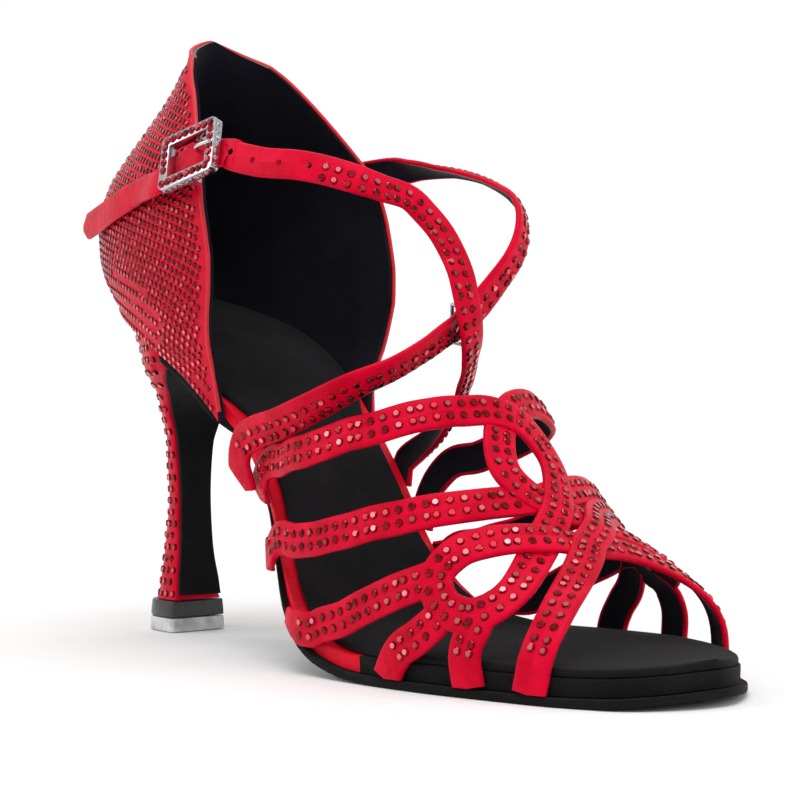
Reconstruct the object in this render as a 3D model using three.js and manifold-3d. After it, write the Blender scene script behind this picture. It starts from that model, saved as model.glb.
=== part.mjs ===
// Open-toed Latin dance sandal, right foot, on a flared 95 mm heel.
// X runs from the heel to the toe, Y to the inner side of the foot, Z up. Millimetres.
import * as THREE from 'three';
import { mergeVertices } from 'three/addons/utils/BufferGeometryUtils.js';
import Module from 'manifold-3d';

const wasm = await Module();
wasm.setup();

// Driving sizes of the last.
const footLength = 228;
const ballWidth = 82;
const heelRise = 93.2;
const instepHeight = 77.4;
const toeSpring = 2;
const heelSetIn = 5;

// Sole stack, measured straight down.
const outsoleThick = 1.8;
const boardThick = 3.9;
const sockThick = 1.7;
const sockInset = 0.4;
const outsoleMargin = 1.7;
const breastThick = 1.2;
const seam = 0.3;
const toeRound = 14;

// Heel stiffener and its covering.
const counterHeight = 66.2;
const counterWall = 2.2;
const counterTopDrop = 7;

// Heel, collar and tip.
const tipThick = 3.8;
const collarThick = 4.6;
const heelFlat = 0.94;

// Straps, their buckle and the keeper where two of them cross.
const strapWidth = 8.5;
const strapThick = 1.6;
const ankleStrapWidth = 7.8;
const strapStep = 4.6;
const tailPoint = 3.2;
const holeRadius = 0.8;
const holePitch = 8.8;
const holeCount = 4;
const buckleLength = 20;
const buckleHeight = 15.6;
const buckleBar = 3;
const buckleProud = 2.6;
const pinRadius = 0.7;
const prongRadius = 0.6;
const prongAside = -0.3;
const keeperWire = 0.7;

const halfBall = ballWidth / 2;
const stack = outsoleThick + seam + boardThick + seam + sockThick;

// Sections of the last along the foot. along is a share of footLength, rise of heelRise,
// lateral and medial of half the ball width, crown of instepHeight above the bed. full is
// the power of the inner half's curve: 2 is an ellipse, less is flatter over the big toe.
// edge is how far the outsole stands out past the board, as a share of outsoleMargin.
const lastSections = [
  { along: 0.022, rise: 1.0, lateral: 0.02, medial: 0.02, crown: 1.2, full: 2, spring: 0, edge: 0 },
  { along: 0.05, rise: 0.98, lateral: 0.42, medial: 0.43, crown: 1.2, full: 2, spring: 0, edge: 0 },
  { along: 0.1, rise: 0.945, lateral: 0.56, medial: 0.59, crown: 1.25, full: 2, spring: 0, edge: 0 },
  { along: 0.155, rise: 0.905, lateral: 0.62, medial: 0.65, crown: 1.3, full: 2, spring: 0, edge: 0 },
  { along: 0.22, rise: 0.845, lateral: 0.63, medial: 0.64, crown: 1.35, full: 2, spring: 0, edge: 0 },
  { along: 0.275, rise: 0.775, lateral: 0.61, medial: 0.61, crown: 1.42, full: 2, spring: 0, edge: -0.8 },
  { along: 0.335, rise: 0.675, lateral: 0.58, medial: 0.58, crown: 1.46, full: 2, spring: 0, edge: -1.4 },
  { along: 0.385, rise: 0.56, lateral: 0.555, medial: 0.57, crown: 1.4, full: 2, spring: 0, edge: -1.2 },
  { along: 0.44, rise: 0.4, lateral: 0.595, medial: 0.55, crown: 1.37, full: 2, spring: 0, edge: 0 },
  { along: 0.48, rise: 0.255, lateral: 0.68, medial: 0.545, crown: 1.35, full: 2, spring: 0, edge: 0.7 },
  { along: 0.52, rise: 0.145, lateral: 0.785, medial: 0.575, crown: 1.33, full: 2, spring: 0, edge: 1 },
  { along: 0.555, rise: 0.07, lateral: 0.845, medial: 0.66, crown: 1.255, full: 2, spring: 0, edge: 1 },
  { along: 0.59, rise: 0.03, lateral: 0.865, medial: 0.76, crown: 1.155, full: 1.95, spring: 0, edge: 1 },
  { along: 0.64, rise: 0.005, lateral: 0.87, medial: 0.9, crown: 0.985, full: 1.85, spring: 0, edge: 1 },
  { along: 0.7, rise: 0, lateral: 0.86, medial: 1.02, crown: 0.72, full: 1.75, spring: 0, edge: 1 },
  { along: 0.77, rise: 0, lateral: 0.82, medial: 1.04, crown: 0.435, full: 1.7, spring: 0, edge: 1 },
  { along: 0.83, rise: 0, lateral: 0.755, medial: 0.95, crown: 0.27, full: 2.45, spring: 0, edge: 1 },
  { along: 0.89, rise: 0, lateral: 0.68, medial: 0.78, crown: 0.185, full: 2.3, spring: 0, edge: 1 },
  { along: 0.94, rise: 0, lateral: 0.57, medial: 0.55, crown: 0.125, full: 2, spring: 0.15, edge: 1 },
  { along: 0.975, rise: 0, lateral: 0.5, medial: 0.4, crown: 0.08, full: 2, spring: 0.5, edge: 1 },
  { along: 1.0, rise: 0, lateral: 0.43, medial: 0.3, crown: 0.05, full: 2, spring: 1, edge: 1 },
];

// Level sections round the heel and ankle, outside of the counter. level is a share of
// counterHeight above the seat, back and front are shares of footLength, half of halfBall,
// and full is the power of the curve.
const counterSections = [
  { level: -0.6, back: 0.135, front: 0.36, half: 0.655, full: 2.1 },
  { level: -0.45, back: 0.115, front: 0.355, half: 0.68, full: 2.1 },
  { level: -0.3, back: 0.09, front: 0.36, half: 0.755, full: 2.1 },
  { level: -0.2, back: 0.067, front: 0.365, half: 0.78, full: 2.1 },
  { level: -0.1, back: 0.042, front: 0.37, half: 0.79, full: 2.1 },
  { level: 0, back: 0.015, front: 0.37, half: 0.79, full: 2.1 },
  { level: 0.1, back: 0.003, front: 0.365, half: 0.79, full: 2.1 },
  { level: 0.2, back: 0.001, front: 0.358, half: 0.79, full: 2.1 },
  { level: 0.3, back: 0.005, front: 0.35, half: 0.775, full: 2.05 },
  { level: 0.4, back: 0.02, front: 0.34, half: 0.745, full: 2 },
  { level: 0.5, back: 0.052, front: 0.32, half: 0.685, full: 1.95 },
  { level: 0.6, back: 0.085, front: 0.3, half: 0.61, full: 1.85 },
  { level: 0.7, back: 0.118, front: 0.278, half: 0.535, full: 1.7 },
  { level: 0.8, back: 0.148, front: 0.253, half: 0.46, full: 1.5 },
  { level: 0.88, back: 0.167, front: 0.232, half: 0.37, full: 1.4 },
  { level: 0.95, back: 0.177, front: 0.207, half: 0.27, full: 1.35 },
  { level: 1.02, back: 0.183, front: 0.19, half: 0.16, full: 1.3 },
];

// Level sections of the heel. level is a share of heelRise, back and breast are shares of
// footLength, half is the greatest half width as a share of halfBall, and full is the power
// of the curve round the back.
const heelSections = [
  { level: 0, back: 0.082, breast: 0.163, half: 0.228, full: 2.3 },
  { level: 0.045, back: 0.083, breast: 0.162, half: 0.224, full: 2.3 },
  { level: 0.093, back: 0.085, breast: 0.161, half: 0.217, full: 2.3 },
  { level: 0.098, back: 0.095, breast: 0.16, half: 0.19, full: 2.3 },
  { level: 0.16, back: 0.1, breast: 0.157, half: 0.173, full: 2.3 },
  { level: 0.22, back: 0.102, breast: 0.154, half: 0.151, full: 2.2 },
  { level: 0.28, back: 0.105, breast: 0.152, half: 0.139, full: 2.2 },
  { level: 0.4, back: 0.108, breast: 0.15, half: 0.13, full: 1.8 },
  { level: 0.5, back: 0.106, breast: 0.149, half: 0.14, full: 1.8 },
  { level: 0.58, back: 0.103, breast: 0.149, half: 0.16, full: 1.5 },
  { level: 0.62, back: 0.101, breast: 0.151, half: 0.185, full: 1.5 },
  { level: 0.665, back: 0.099, breast: 0.154, half: 0.225, full: 1.5 },
  { level: 0.725, back: 0.097, breast: 0.175, half: 0.335, full: 1.35 },
  { level: 0.77, back: 0.091, breast: 0.205, half: 0.49, full: 1.3 },
  { level: 0.81, back: 0.08, breast: 0.237, half: 0.61, full: 1.3 },
  { level: 0.9, back: 0.056, breast: 0.25, half: 0.635, full: 1.35 },
  { level: 1.0, back: 0.035, breast: 0.255, half: 0.65, full: 1.5 },
];

// Straps of the vamp, laid on the last. round runs from -1 at the outer feather edge over
// the instep to 1 at the inner one, and 1.1 is the foot of the strap at the outsole.
// lift counts the strap thicknesses that it passes over.
const outerTwist = [
  { along: 0.435, round: -1.1, lift: 0.2 },
  { along: 0.442, round: -1.0, lift: 1.1 },
  { along: 0.465, round: -0.92, lift: 0.6 },
  { along: 0.5, round: -0.85, lift: 0.2 },
  { along: 0.55, round: -0.75, lift: 0 },
  { along: 0.6, round: -0.645, lift: 0 },
  { along: 0.645, round: -0.53, lift: 0 },
  { along: 0.675, round: -0.385, lift: 0 },
  { along: 0.695, round: -0.22, lift: 0 },
  { along: 0.71, round: -0.06, lift: 1 },
  { along: 0.722, round: 0.08, lift: 1 },
  { along: 0.74, round: 0.135, lift: 0.6 },
  { along: 0.76, round: 0.1, lift: 0.8 },
  { along: 0.79, round: -0.04, lift: 1 },
  { along: 0.812, round: -0.26, lift: 0.2 },
  { along: 0.825, round: -0.52, lift: 0 },
  { along: 0.815, round: -0.69, lift: 0 },
  { along: 0.795, round: -0.78, lift: 0 },
  { along: 0.77, round: -0.79, lift: 0 },
  { along: 0.752, round: -0.73, lift: 0 },
  { along: 0.76, round: -0.58, lift: 0 },
  { along: 0.78, round: -0.43, lift: 0.3 },
  { along: 0.81, round: -0.21, lift: 1.5 },
  { along: 0.818, round: -0.02, lift: 0.3 },
  { along: 0.822, round: 0.15, lift: 0 },
  { along: 0.845, round: 0.46, lift: 0 },
  { along: 0.858, round: 0.75, lift: 0 },
  { along: 0.863, round: 1.0, lift: 0 },
  { along: 0.865, round: 1.1, lift: 0 },
];
const innerTwist = [
  { along: 0.463, round: 1.1, lift: 0 },
  { along: 0.468, round: 0.99, lift: 0 },
  { along: 0.505, round: 0.86, lift: 0 },
  { along: 0.55, round: 0.765, lift: 0 },
  { along: 0.6, round: 0.65, lift: 0 },
  { along: 0.64, round: 0.53, lift: 0 },
  { along: 0.668, round: 0.4, lift: 0 },
  { along: 0.688, round: 0.22, lift: 0 },
  { along: 0.704, round: 0.05, lift: 0 },
  { along: 0.72, round: -0.09, lift: 0 },
  { along: 0.745, round: -0.155, lift: 0.4 },
  { along: 0.77, round: -0.09, lift: 0.5 },
  { along: 0.785, round: 0.08, lift: 0 },
  { along: 0.795, round: 0.27, lift: 0 },
  { along: 0.806, round: 0.45, lift: 0 },
  { along: 0.8, round: 0.58, lift: 0 },
  { along: 0.78, round: 0.68, lift: 0 },
  { along: 0.755, round: 0.705, lift: 0 },
  { along: 0.739, round: 0.62, lift: 0 },
  { along: 0.745, round: 0.48, lift: 0 },
  { along: 0.765, round: 0.34, lift: 0.3 },
  { along: 0.79, round: 0.19, lift: 1 },
  { along: 0.815, round: 0.06, lift: 1.9 },
  { along: 0.84, round: -0.08, lift: 1.2 },
  { along: 0.86, round: -0.28, lift: 0.3 },
  { along: 0.877, round: -0.58, lift: 0 },
  { along: 0.88, round: -0.8, lift: 0 },
  { along: 0.877, round: -1.0, lift: 0 },
  { along: 0.872, round: -1.1, lift: 0 },
];

// The cross band under the two twisted straps, and the plain bars that run from the feather
// edge to their loops.
const bars = [
  [
    { along: 0.478, round: -1.1, lift: 0.8 },
    { along: 0.49, round: -1.02, lift: 1.9 },
    { along: 0.51, round: -0.955, lift: 1.2 },
    { along: 0.55, round: -0.895, lift: 0.2 },
    { along: 0.6, round: -0.83, lift: 0 },
    { along: 0.65, round: -0.755, lift: 0 },
    { along: 0.695, round: -0.65, lift: 0 },
    { along: 0.73, round: -0.51, lift: 0 },
    { along: 0.755, round: -0.33, lift: 0 },
    { along: 0.77, round: -0.08, lift: 0 },
    { along: 0.765, round: 0.1, lift: 0 },
    { along: 0.745, round: 0.32, lift: 0 },
    { along: 0.72, round: 0.5, lift: 0 },
    { along: 0.69, round: 0.62, lift: 0 },
    { along: 0.65, round: 0.73, lift: 0 },
    { along: 0.6, round: 0.83, lift: 0 },
    { along: 0.55, round: 0.915, lift: 0 },
    { along: 0.51, round: 0.99, lift: 0 },
    { along: 0.486, round: 1.1, lift: 0 },
  ],
  [
    { along: 0.538, round: -1.1, lift: 0.6 },
    { along: 0.565, round: -1.035, lift: 0.7 },
    { along: 0.595, round: -0.99, lift: 0.3 },
    { along: 0.64, round: -0.945, lift: 0 },
    { along: 0.69, round: -0.87, lift: 0 },
    { along: 0.73, round: -0.78, lift: 0 },
    { along: 0.75, round: -0.71, lift: 0 },
  ],
  [
    { along: 0.548, round: 1.1, lift: 0 },
    { along: 0.57, round: 0.995, lift: 0 },
    { along: 0.6, round: 0.965, lift: 0 },
    { along: 0.64, round: 0.895, lift: 0 },
    { along: 0.68, round: 0.81, lift: 0 },
    { along: 0.71, round: 0.735, lift: 0 },
    { along: 0.738, round: 0.67, lift: 0 },
  ],
  [
    { along: 0.7, round: -1.1, lift: 0 },
    { along: 0.715, round: -1.0, lift: 0 },
    { along: 0.74, round: -0.94, lift: 0 },
    { along: 0.76, round: -0.865, lift: 0 },
    { along: 0.768, round: -0.8, lift: 0 },
  ],
  [
    { along: 0.805, round: -1.1, lift: 0 },
    { along: 0.8, round: -1.0, lift: 0 },
    { along: 0.801, round: -0.92, lift: 0 },
    { along: 0.806, round: -0.82, lift: 0 },
    { along: 0.808, round: -0.74, lift: 0 },
  ],
  [
    { along: 0.686, round: 1.1, lift: 0 },
    { along: 0.69, round: 0.98, lift: 0 },
    { along: 0.7, round: 0.915, lift: 0 },
    { along: 0.718, round: 0.835, lift: 0 },
    { along: 0.735, round: 0.72, lift: 0 },
  ],
  [
    { along: 0.773, round: 1.1, lift: 0 },
    { along: 0.775, round: 0.97, lift: 0 },
    { along: 0.78, round: 0.83, lift: 0 },
    { along: 0.777, round: 0.735, lift: 0 },
    { along: 0.765, round: 0.7, lift: 0 },
  ],
];

// Free stretches of the two ankle straps. across is a share of halfBall, up is a share of
// instepHeight above the bed at that place. The strap's outer face looks facing degrees
// from the toe toward the inner side, and lean degrees upward.
const instepRoute = [
  { along: 0.425, across: -0.71, up: -0.09, facing: -90, lean: 0 },
  { along: 0.424, across: -0.755, up: 0, facing: -90, lean: 0 },
  { along: 0.434, across: -0.77, up: 0.1, facing: -88, lean: -5 },
  { along: 0.458, across: -0.785, up: 0.235, facing: -75, lean: -15 },
  { along: 0.505, across: -0.795, up: 0.45, facing: -65, lean: -27 },
  { along: 0.555, across: -0.78, up: 0.635, facing: -55, lean: -37 },
  { along: 0.605, across: -0.68, up: 0.765, facing: -40, lean: -47 },
  { along: 0.627, across: -0.49, up: 0.83, facing: -30, lean: -50 },
  { along: 0.636, across: -0.28, up: 0.895, facing: -20, lean: -46 },
  { along: 0.636, across: -0.13, up: 0.94, facing: -14, lean: -36 },
  { along: 0.628, across: 0.03, up: 0.975, facing: -8, lean: -24 },
  { along: 0.624, across: 0.14, up: 1.005, facing: -3, lean: -20 },
  { along: 0.624, across: 0.235, up: 1.045, facing: 2, lean: -18 },
  { along: 0.632, across: 0.335, up: 1.12, facing: 10, lean: -15 },
  { along: 0.642, across: 0.42, up: 1.2, facing: 16, lean: -12 },
  { along: 0.642, across: 0.48, up: 1.26, facing: 22, lean: -6 },
  { along: 0.636, across: 0.525, up: 1.315, facing: 32, lean: 5 },
  { along: 0.618, across: 0.59, up: 1.37, facing: 48, lean: 30 },
  { along: 0.575, across: 0.67, up: 1.4, facing: 68, lean: 62 },
  { along: 0.52, across: 0.735, up: 1.335, facing: 85, lean: 76 },
  { along: 0.46, across: 0.785, up: 1.155, facing: 92, lean: 76 },
  { along: 0.4, across: 0.81, up: 0.945, facing: 95, lean: 55 },
  { along: 0.355, across: 0.8, up: 0.81, facing: 95, lean: 15 },
  { along: 0.28, across: 0.765, up: 0.64, facing: 95, lean: 0 },
];
const ankleFront = [
  { along: 0.41, across: -0.775, up: 0.96, facing: -85, lean: 10 },
  { along: 0.46, across: -0.745, up: 1.12, facing: -78, lean: 12 },
  { along: 0.51, across: -0.68, up: 1.29, facing: -68, lean: 16 },
  { along: 0.54, across: -0.6, up: 1.355, facing: -58, lean: 20 },
  { along: 0.57, across: -0.475, up: 1.38, facing: -48, lean: 24 },
  { along: 0.58, across: -0.33, up: 1.37, facing: -38, lean: 28 },
  { along: 0.59, across: -0.18, up: 1.355, facing: -30, lean: 32 },
  { along: 0.6, across: -0.1, up: 1.315, facing: -24, lean: 34 },
  { along: 0.615, across: -0.05, up: 1.265, facing: -18, lean: 34 },
  { along: 0.63, across: -0.025, up: 1.2, facing: -12, lean: 30 },
  { along: 0.645, across: -0.035, up: 1.135, facing: -8, lean: 26 },
  { along: 0.652, across: -0.035, up: 1.07, facing: -5, lean: 20 },
  { along: 0.654, across: -0.01, up: 1.0, facing: -4, lean: 12 },
  { along: 0.648, across: 0.04, up: 0.94, facing: -2, lean: 4 },
  { along: 0.632, across: 0.12, up: 0.88, facing: 2, lean: -4 },
  { along: 0.597, across: 0.27, up: 0.795, facing: 10, lean: -14 },
  { along: 0.57, across: 0.37, up: 0.705, facing: 22, lean: -22 },
  { along: 0.535, across: 0.465, up: 0.56, facing: 45, lean: -25 },
  { along: 0.5, across: 0.525, up: 0.4, facing: 70, lean: -20 },
  { along: 0.465, across: 0.555, up: 0.215, facing: 85, lean: -10 },
  { along: 0.442, across: 0.57, up: 0.08, facing: 90, lean: 0 },
  { along: 0.43, across: 0.58, up: 0.01, facing: 90, lean: 0 },
  { along: 0.425, across: 0.58, up: -0.085, facing: 90, lean: 0 },
];
const ankleTail = [
  { along: 0.04, across: -0.5, up: 0.2, facing: -118, lean: 0 },
  { along: 0.097, across: -0.6, up: 0.267, facing: -110, lean: 0 },
  { along: 0.168, across: -0.72, up: 0.358, facing: -101, lean: 6 },
  { along: 0.238, across: -0.785, up: 0.48, facing: -94, lean: 12 },
];

// Row of instepRoute where the two straps cross in the keeper.
const keeperRow = 10;

// The buckle sits on the outer wing of the counter, turned to the strap.
const buckleSeat = { along: 0.352, level: 0.394, heading: 9, climb: 13.6, lean: 20 };

// Smooth curve through a table's column, with no overshoot between its rows.
function smooth(rows, key, column, at) {
  const last = rows.length - 1;
  const place = THREE.MathUtils.clamp(at, rows[0][key], rows[last][key]);
  let i = 0;
  while (i < last - 1 && rows[i + 1][key] <= place) i += 1;
  const chord = (k) => (rows[k + 1][column] - rows[k][column]) / (rows[k + 1][key] - rows[k][key]);
  const slope = (k) => {
    if (k === 0) return chord(0);
    if (k === last) return chord(last - 1);
    const before = chord(k - 1);
    const after = chord(k);
    return before * after <= 0 ? 0 : (2 * before * after) / (before + after);
  };
  const span = rows[i + 1][key] - rows[i][key];
  const t = (place - rows[i][key]) / span;
  return (
    rows[i][column] * (2 * t ** 3 - 3 * t ** 2 + 1) +
    slope(i) * span * (t ** 3 - 2 * t ** 2 + t) +
    rows[i + 1][column] * (3 * t ** 2 - 2 * t ** 3) +
    slope(i + 1) * span * (t ** 3 - t ** 2)
  );
}

// The bed is the upper face of the padded sock, and all of the sole hangs below it.
function bedAt(x) {
  const along = x / footLength;
  const rise = smooth(lastSections, 'along', 'rise', along) * heelRise;
  const spring = smooth(lastSections, 'along', 'spring', along) * toeSpring;
  return stack + rise + spring;
}

function boardTopAt(x) {
  return bedAt(x) - sockThick - seam;
}

function outsoleTopAt(x) {
  return boardTopAt(x) - boardThick - seam;
}

function outsoleBottomAt(x) {
  return outsoleTopAt(x) - outsoleThick;
}

const seatLevel = bedAt(heelSetIn);

// Level section of the counter at a height: its back, its front edge and its half width.
function counterSection(z, inward) {
  const level = (z - seatLevel) / counterHeight;
  const back = smooth(counterSections, 'level', 'back', level) * footLength + inward;
  const front = smooth(counterSections, 'level', 'front', level) * footLength;
  const half = smooth(counterSections, 'level', 'half', level) * halfBall - inward;
  const full = smooth(counterSections, 'level', 'full', level);
  return { back, front, reach: Math.max(front - back, 0.5), half, full };
}

function boardHalfAt(x, side) {
  const column = side < 0 ? 'lateral' : 'medial';
  return smooth(lastSections, 'along', column, x / footLength) * halfBall;
}

// Half width of a sole layer on one side: within the counter it follows that, and in front
// of it the feather edge, closed by the round of the toe.
const leaving = 4;
function layerHalfAt(x, side, layer) {
  const section = counterSection(layer.cupHeight(x), layer.inset);
  const share = THREE.MathUtils.clamp((section.front - x) / section.reach, 0, 1);
  const cup = section.half * (1 - share ** section.full) ** (1 / section.full);
  const toeShare = THREE.MathUtils.clamp((x - layer.end + toeRound) / toeRound, 0, 1);
  const open = (boardHalfAt(x, side) + layer.marginAt(x)) * Math.sqrt(1 - toeShare ** 2);
  const front = section.front;
  return THREE.MathUtils.lerp(cup, open, THREE.MathUtils.smoothstep(x, front - leaving, front + leaving));
}

// Faces of a closed body lofted through rings of equally many points.
function loft(rings) {
  const count = rings[0].length;
  const positions = [];
  const index = [];
  rings.forEach((ring) => ring.forEach((point) => positions.push(point.x, point.y, point.z)));
  for (let i = 0; i < rings.length - 1; i += 1) {
    for (let j = 0; j < count; j += 1) {
      const k = (j + 1) % count;
      const a = i * count + j;
      const b = i * count + k;
      const c = a + count;
      const d = b + count;
      index.push(a, b, d, a, d, c);
    }
  }
  const cap = (ring, first, forward) => {
    const centre = new THREE.Vector3();
    ring.forEach((point) => centre.add(point));
    centre.divideScalar(count);
    const hub = positions.length / 3;
    positions.push(centre.x, centre.y, centre.z);
    for (let j = 0; j < count; j += 1) {
      const k = (j + 1) % count;
      if (forward) index.push(hub, first + j, first + k);
      else index.push(hub, first + k, first + j);
    }
  };
  cap(rings[0], 0, false);
  cap(rings[rings.length - 1], (rings.length - 1) * count, true);
  return closed(positions, index);
}

// Geometry with its faces turned outward, whichever way it was wound.
function closed(positions, index) {
  const at = (i) => new THREE.Vector3().fromArray(positions, i * 3);
  let volume = 0;
  for (let i = 0; i < index.length; i += 3) {
    volume += at(index[i]).dot(at(index[i + 1]).cross(at(index[i + 2])));
  }
  if (volume < 0) {
    for (let i = 0; i < index.length; i += 3) {
      [index[i + 1], index[i + 2]] = [index[i + 2], index[i + 1]];
    }
  }
  const geometry = new THREE.BufferGeometry();
  geometry.setAttribute('position', new THREE.Float32BufferAttribute(positions, 3));
  geometry.setIndex(index);
  return geometry;
}

function toSolid(geometry) {
  const bare = geometry.clone();
  bare.deleteAttribute('normal');
  bare.deleteAttribute('uv');
  const merged = mergeVertices(bare, 1e-4);
  return new wasm.Manifold(
    new wasm.Mesh({
      numProp: 3,
      vertProperties: new Float32Array(merged.attributes.position.array),
      triVerts: new Uint32Array(merged.index.array),
    }),
  );
}

function fromSolid(solid) {
  const mesh = solid.getMesh();
  const geometry = new THREE.BufferGeometry();
  const points = [];
  for (let i = 0; i < mesh.vertProperties.length; i += mesh.numProp) {
    points.push(...mesh.vertProperties.slice(i, i + 3));
  }
  geometry.setAttribute('position', new THREE.Float32BufferAttribute(points, 3));
  geometry.setIndex(Array.from(mesh.triVerts));
  return geometry;
}

const group = new THREE.Group();

function addPart(name, geometry, finish) {
  geometry.computeVertexNormals();
  const mesh = new THREE.Mesh(geometry, new THREE.MeshStandardMaterial(finish));
  mesh.name = name;
  group.add(mesh);
}

const redSatin = { color: 0xd8032b, roughness: 0.45, metalness: 0 };
const blackSuede = { color: 0x1c1b1d, roughness: 0.9, metalness: 0 };
const polishedMetal = { color: 0xc9c9cc, roughness: 0.2, metalness: 1 };

// A layer of the sole between two heights, with its upper edge rolled over.
const layerStations = 32;
const layerRoll = 0.6;

// Stations are the same for every layer, apart from the first and the last.
function layerStation(i, start, end) {
  const even = (footLength * (1 - Math.cos((Math.PI * i) / layerStations))) / 2;
  const nearStart = start + (i / layerStations) * 2;
  const nearEnd = end - (1 - i / layerStations) * 6;
  return THREE.MathUtils.clamp(even, nearStart, nearEnd);
}

function soleLayer(top, bottom, cupHeight, margin, inset) {
  const end = footLength - outsoleMargin + margin;
  const layer = { cupHeight, marginAt: () => margin, inset, end };
  let start = heelSetIn;
  for (let i = 0; i < 12; i += 1) start = counterSection(cupHeight(start), inset).back;
  const rings = [];
  for (let i = 0; i <= layerStations; i += 1) {
    const x = layerStation(i, start, end);
    const outer = Math.max(layerHalfAt(x, -1, layer), 0.8);
    const inner = Math.max(layerHalfAt(x, 1, layer), 0.8);
    const mid = (inner - outer) / 2;
    const roll = Math.min(layerRoll, (inner + outer) / 8);
    const z = top(x);
    const low = bottom(x);
    rings.push([
      new THREE.Vector3(x, -outer, z - roll),
      new THREE.Vector3(x, -outer + roll, z),
      new THREE.Vector3(x, mid, z),
      new THREE.Vector3(x, inner - roll, z),
      new THREE.Vector3(x, inner, z - roll),
      new THREE.Vector3(x, inner, low),
      new THREE.Vector3(x, mid, low),
      new THREE.Vector3(x, -outer, low),
    ]);
  }
  return loft(rings);
}

// Level outline of the heel at a height.
function heelSection(z) {
  const level = z / heelRise;
  const back = smooth(heelSections, 'level', 'back', level) * footLength;
  const breast = smooth(heelSections, 'level', 'breast', level) * footLength;
  const half = smooth(heelSections, 'level', 'half', level) * halfBall;
  const full = smooth(heelSections, 'level', 'full', level);
  return { back, breast, half, full };
}

// Point off the breast, square to it, in the plane through the middle of the shoe.
function breastPoint(z, off) {
  const slope = heelSection(z + 0.2).breast - heelSection(z - 0.2).breast;
  const across = new THREE.Vector2(0.4, -slope).normalize();
  return { x: heelSection(z).breast + across.x * off, z: z + across.y * off };
}

// Top of the heel where a given part of its outline meets the seat.
function heelTopAt(xAt) {
  let top = 0.85 * heelRise;
  for (let i = 0; i < 16; i += 1) top = outsoleTopAt(Math.max(xAt(top), heelSetIn));
  return top;
}

const heelFoot = tipThick + seam + collarThick + seam;
const heelShares = [0, 0.06, 0.13, 0.22, 0.34, 0.46, 0.58, 0.68, 0.76, 0.83, 0.89, 0.945, 1];

// The outsole runs from the toe to the heel, and turns down over the breast to the collar.
function outsoleRing(outer, inner, roll, place) {
  const mid = (inner - outer) / 2;
  const point = (y, depth) => {
    const { x, z } = place(depth);
    return new THREE.Vector3(x, y, z);
  };
  return [
    point(-outer, roll),
    point(-outer + roll, 0),
    point(mid, 0),
    point(inner - roll, 0),
    point(inner, roll),
    point(inner, 1),
    point(mid, 1),
    point(-outer, 1),
  ];
}

function outsoleGeometry() {
  const marginAt = (x) => outsoleMargin * smooth(lastSections, 'along', 'edge', x / footLength);
  const layer = { cupHeight: outsoleTopAt, marginAt, inset: 0, end: footLength };
  const topFront = heelTopAt((z) => heelSection(z).breast);
  const start = breastPoint(topFront, seam).x + 1;
  const rings = [];
  for (let i = layerStations; i >= 0; i -= 1) {
    const x = layerStation(i, start, footLength);
    const outer = Math.max(layerHalfAt(x, -1, layer), 0.8);
    const inner = Math.max(layerHalfAt(x, 1, layer), 0.8);
    const roll = Math.min(layerRoll, (inner + outer) / 8) / outsoleThick;
    rings.push(outsoleRing(outer, inner, roll, (depth) => ({ x, z: outsoleTopAt(x) - depth * outsoleThick })));
  }
  const flapShares = [...heelShares.slice(1, -1).reverse(), heelShares[1] / 4];
  flapShares.forEach((share) => {
    const z = THREE.MathUtils.lerp(heelFoot, topFront, share);
    const flat = heelSection(z).half * heelFlat;
    rings.push(outsoleRing(flat, flat, 0.1, (depth) => breastPoint(z, seam + depth * breastThick)));
  });
  return loft(rings);
}
addPart('outsole', outsoleGeometry(), blackSuede);

const boardLow = (x) => outsoleTopAt(x) + seam;
const sockLow = (x) => boardTopAt(x) + seam;
const inCup = counterWall + seam;
addPart('insole_board', soleLayer(boardTopAt, boardLow, boardLow, 0, inCup), redSatin);
addPart('footbed', soleLayer(bedAt, sockLow, sockLow, -sockInset, inCup + sockInset), blackSuede);

// The counter: a wall from the outsole to the topline, open to the front.
const counterColumns = 24;
const counterRows = 11;
function counterPoint(side, share, inward) {
  const turn = (side * Math.PI) / 2;
  const place = (z) => {
    const section = counterSection(z, inward);
    const x = section.front - section.reach * Math.cos(turn) ** (2 / section.full);
    const y = section.half * Math.sign(side) * Math.abs(Math.sin(turn)) ** (2 / section.full);
    return { x, y };
  };
  let low = seatLevel;
  for (let i = 0; i < 12; i += 1) low = outsoleTopAt(Math.max(place(low).x, heelSetIn)) + seam;
  const high = seatLevel + counterHeight - counterTopDrop * side ** 2;
  const z = THREE.MathUtils.lerp(low, high, share);
  const { x, y } = place(z);
  return new THREE.Vector3(x, y, z);
}

function counterGeometry() {
  const rings = [];
  for (let i = 0; i <= counterColumns; i += 1) {
    const side = (2 * i) / counterColumns - 1;
    const ring = [];
    for (let j = 0; j <= counterRows; j += 1) ring.push(counterPoint(side, j / counterRows, 0));
    for (let j = counterRows; j >= 0; j -= 1) {
      ring.push(counterPoint(side, j / counterRows, counterWall));
    }
    rings.push(ring);
  }
  return loft(rings);
}

addPart('counter', counterGeometry(), redSatin);

// Ring of the heel: a round back, straight cheeks and a flat breast.
const heelBackPoints = 12;
const heelWidest = 0.85;
function heelOutline(z, turn, cheek) {
  const { back, breast, half, full } = heelSection(z);
  const depth = breast - back;
  const widest = back + depth * heelWidest;
  if (cheek === 0) {
    const x = widest - (widest - back) * Math.cos(turn) ** (2 / full);
    return [x, half * Math.sign(turn) * Math.abs(Math.sin(turn)) ** (2 / full)];
  }
  const setBack = cheek > heelFlat ? depth * 0.03 : 0;
  return [breast - setBack, half * cheek * Math.sign(turn)];
}

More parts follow.
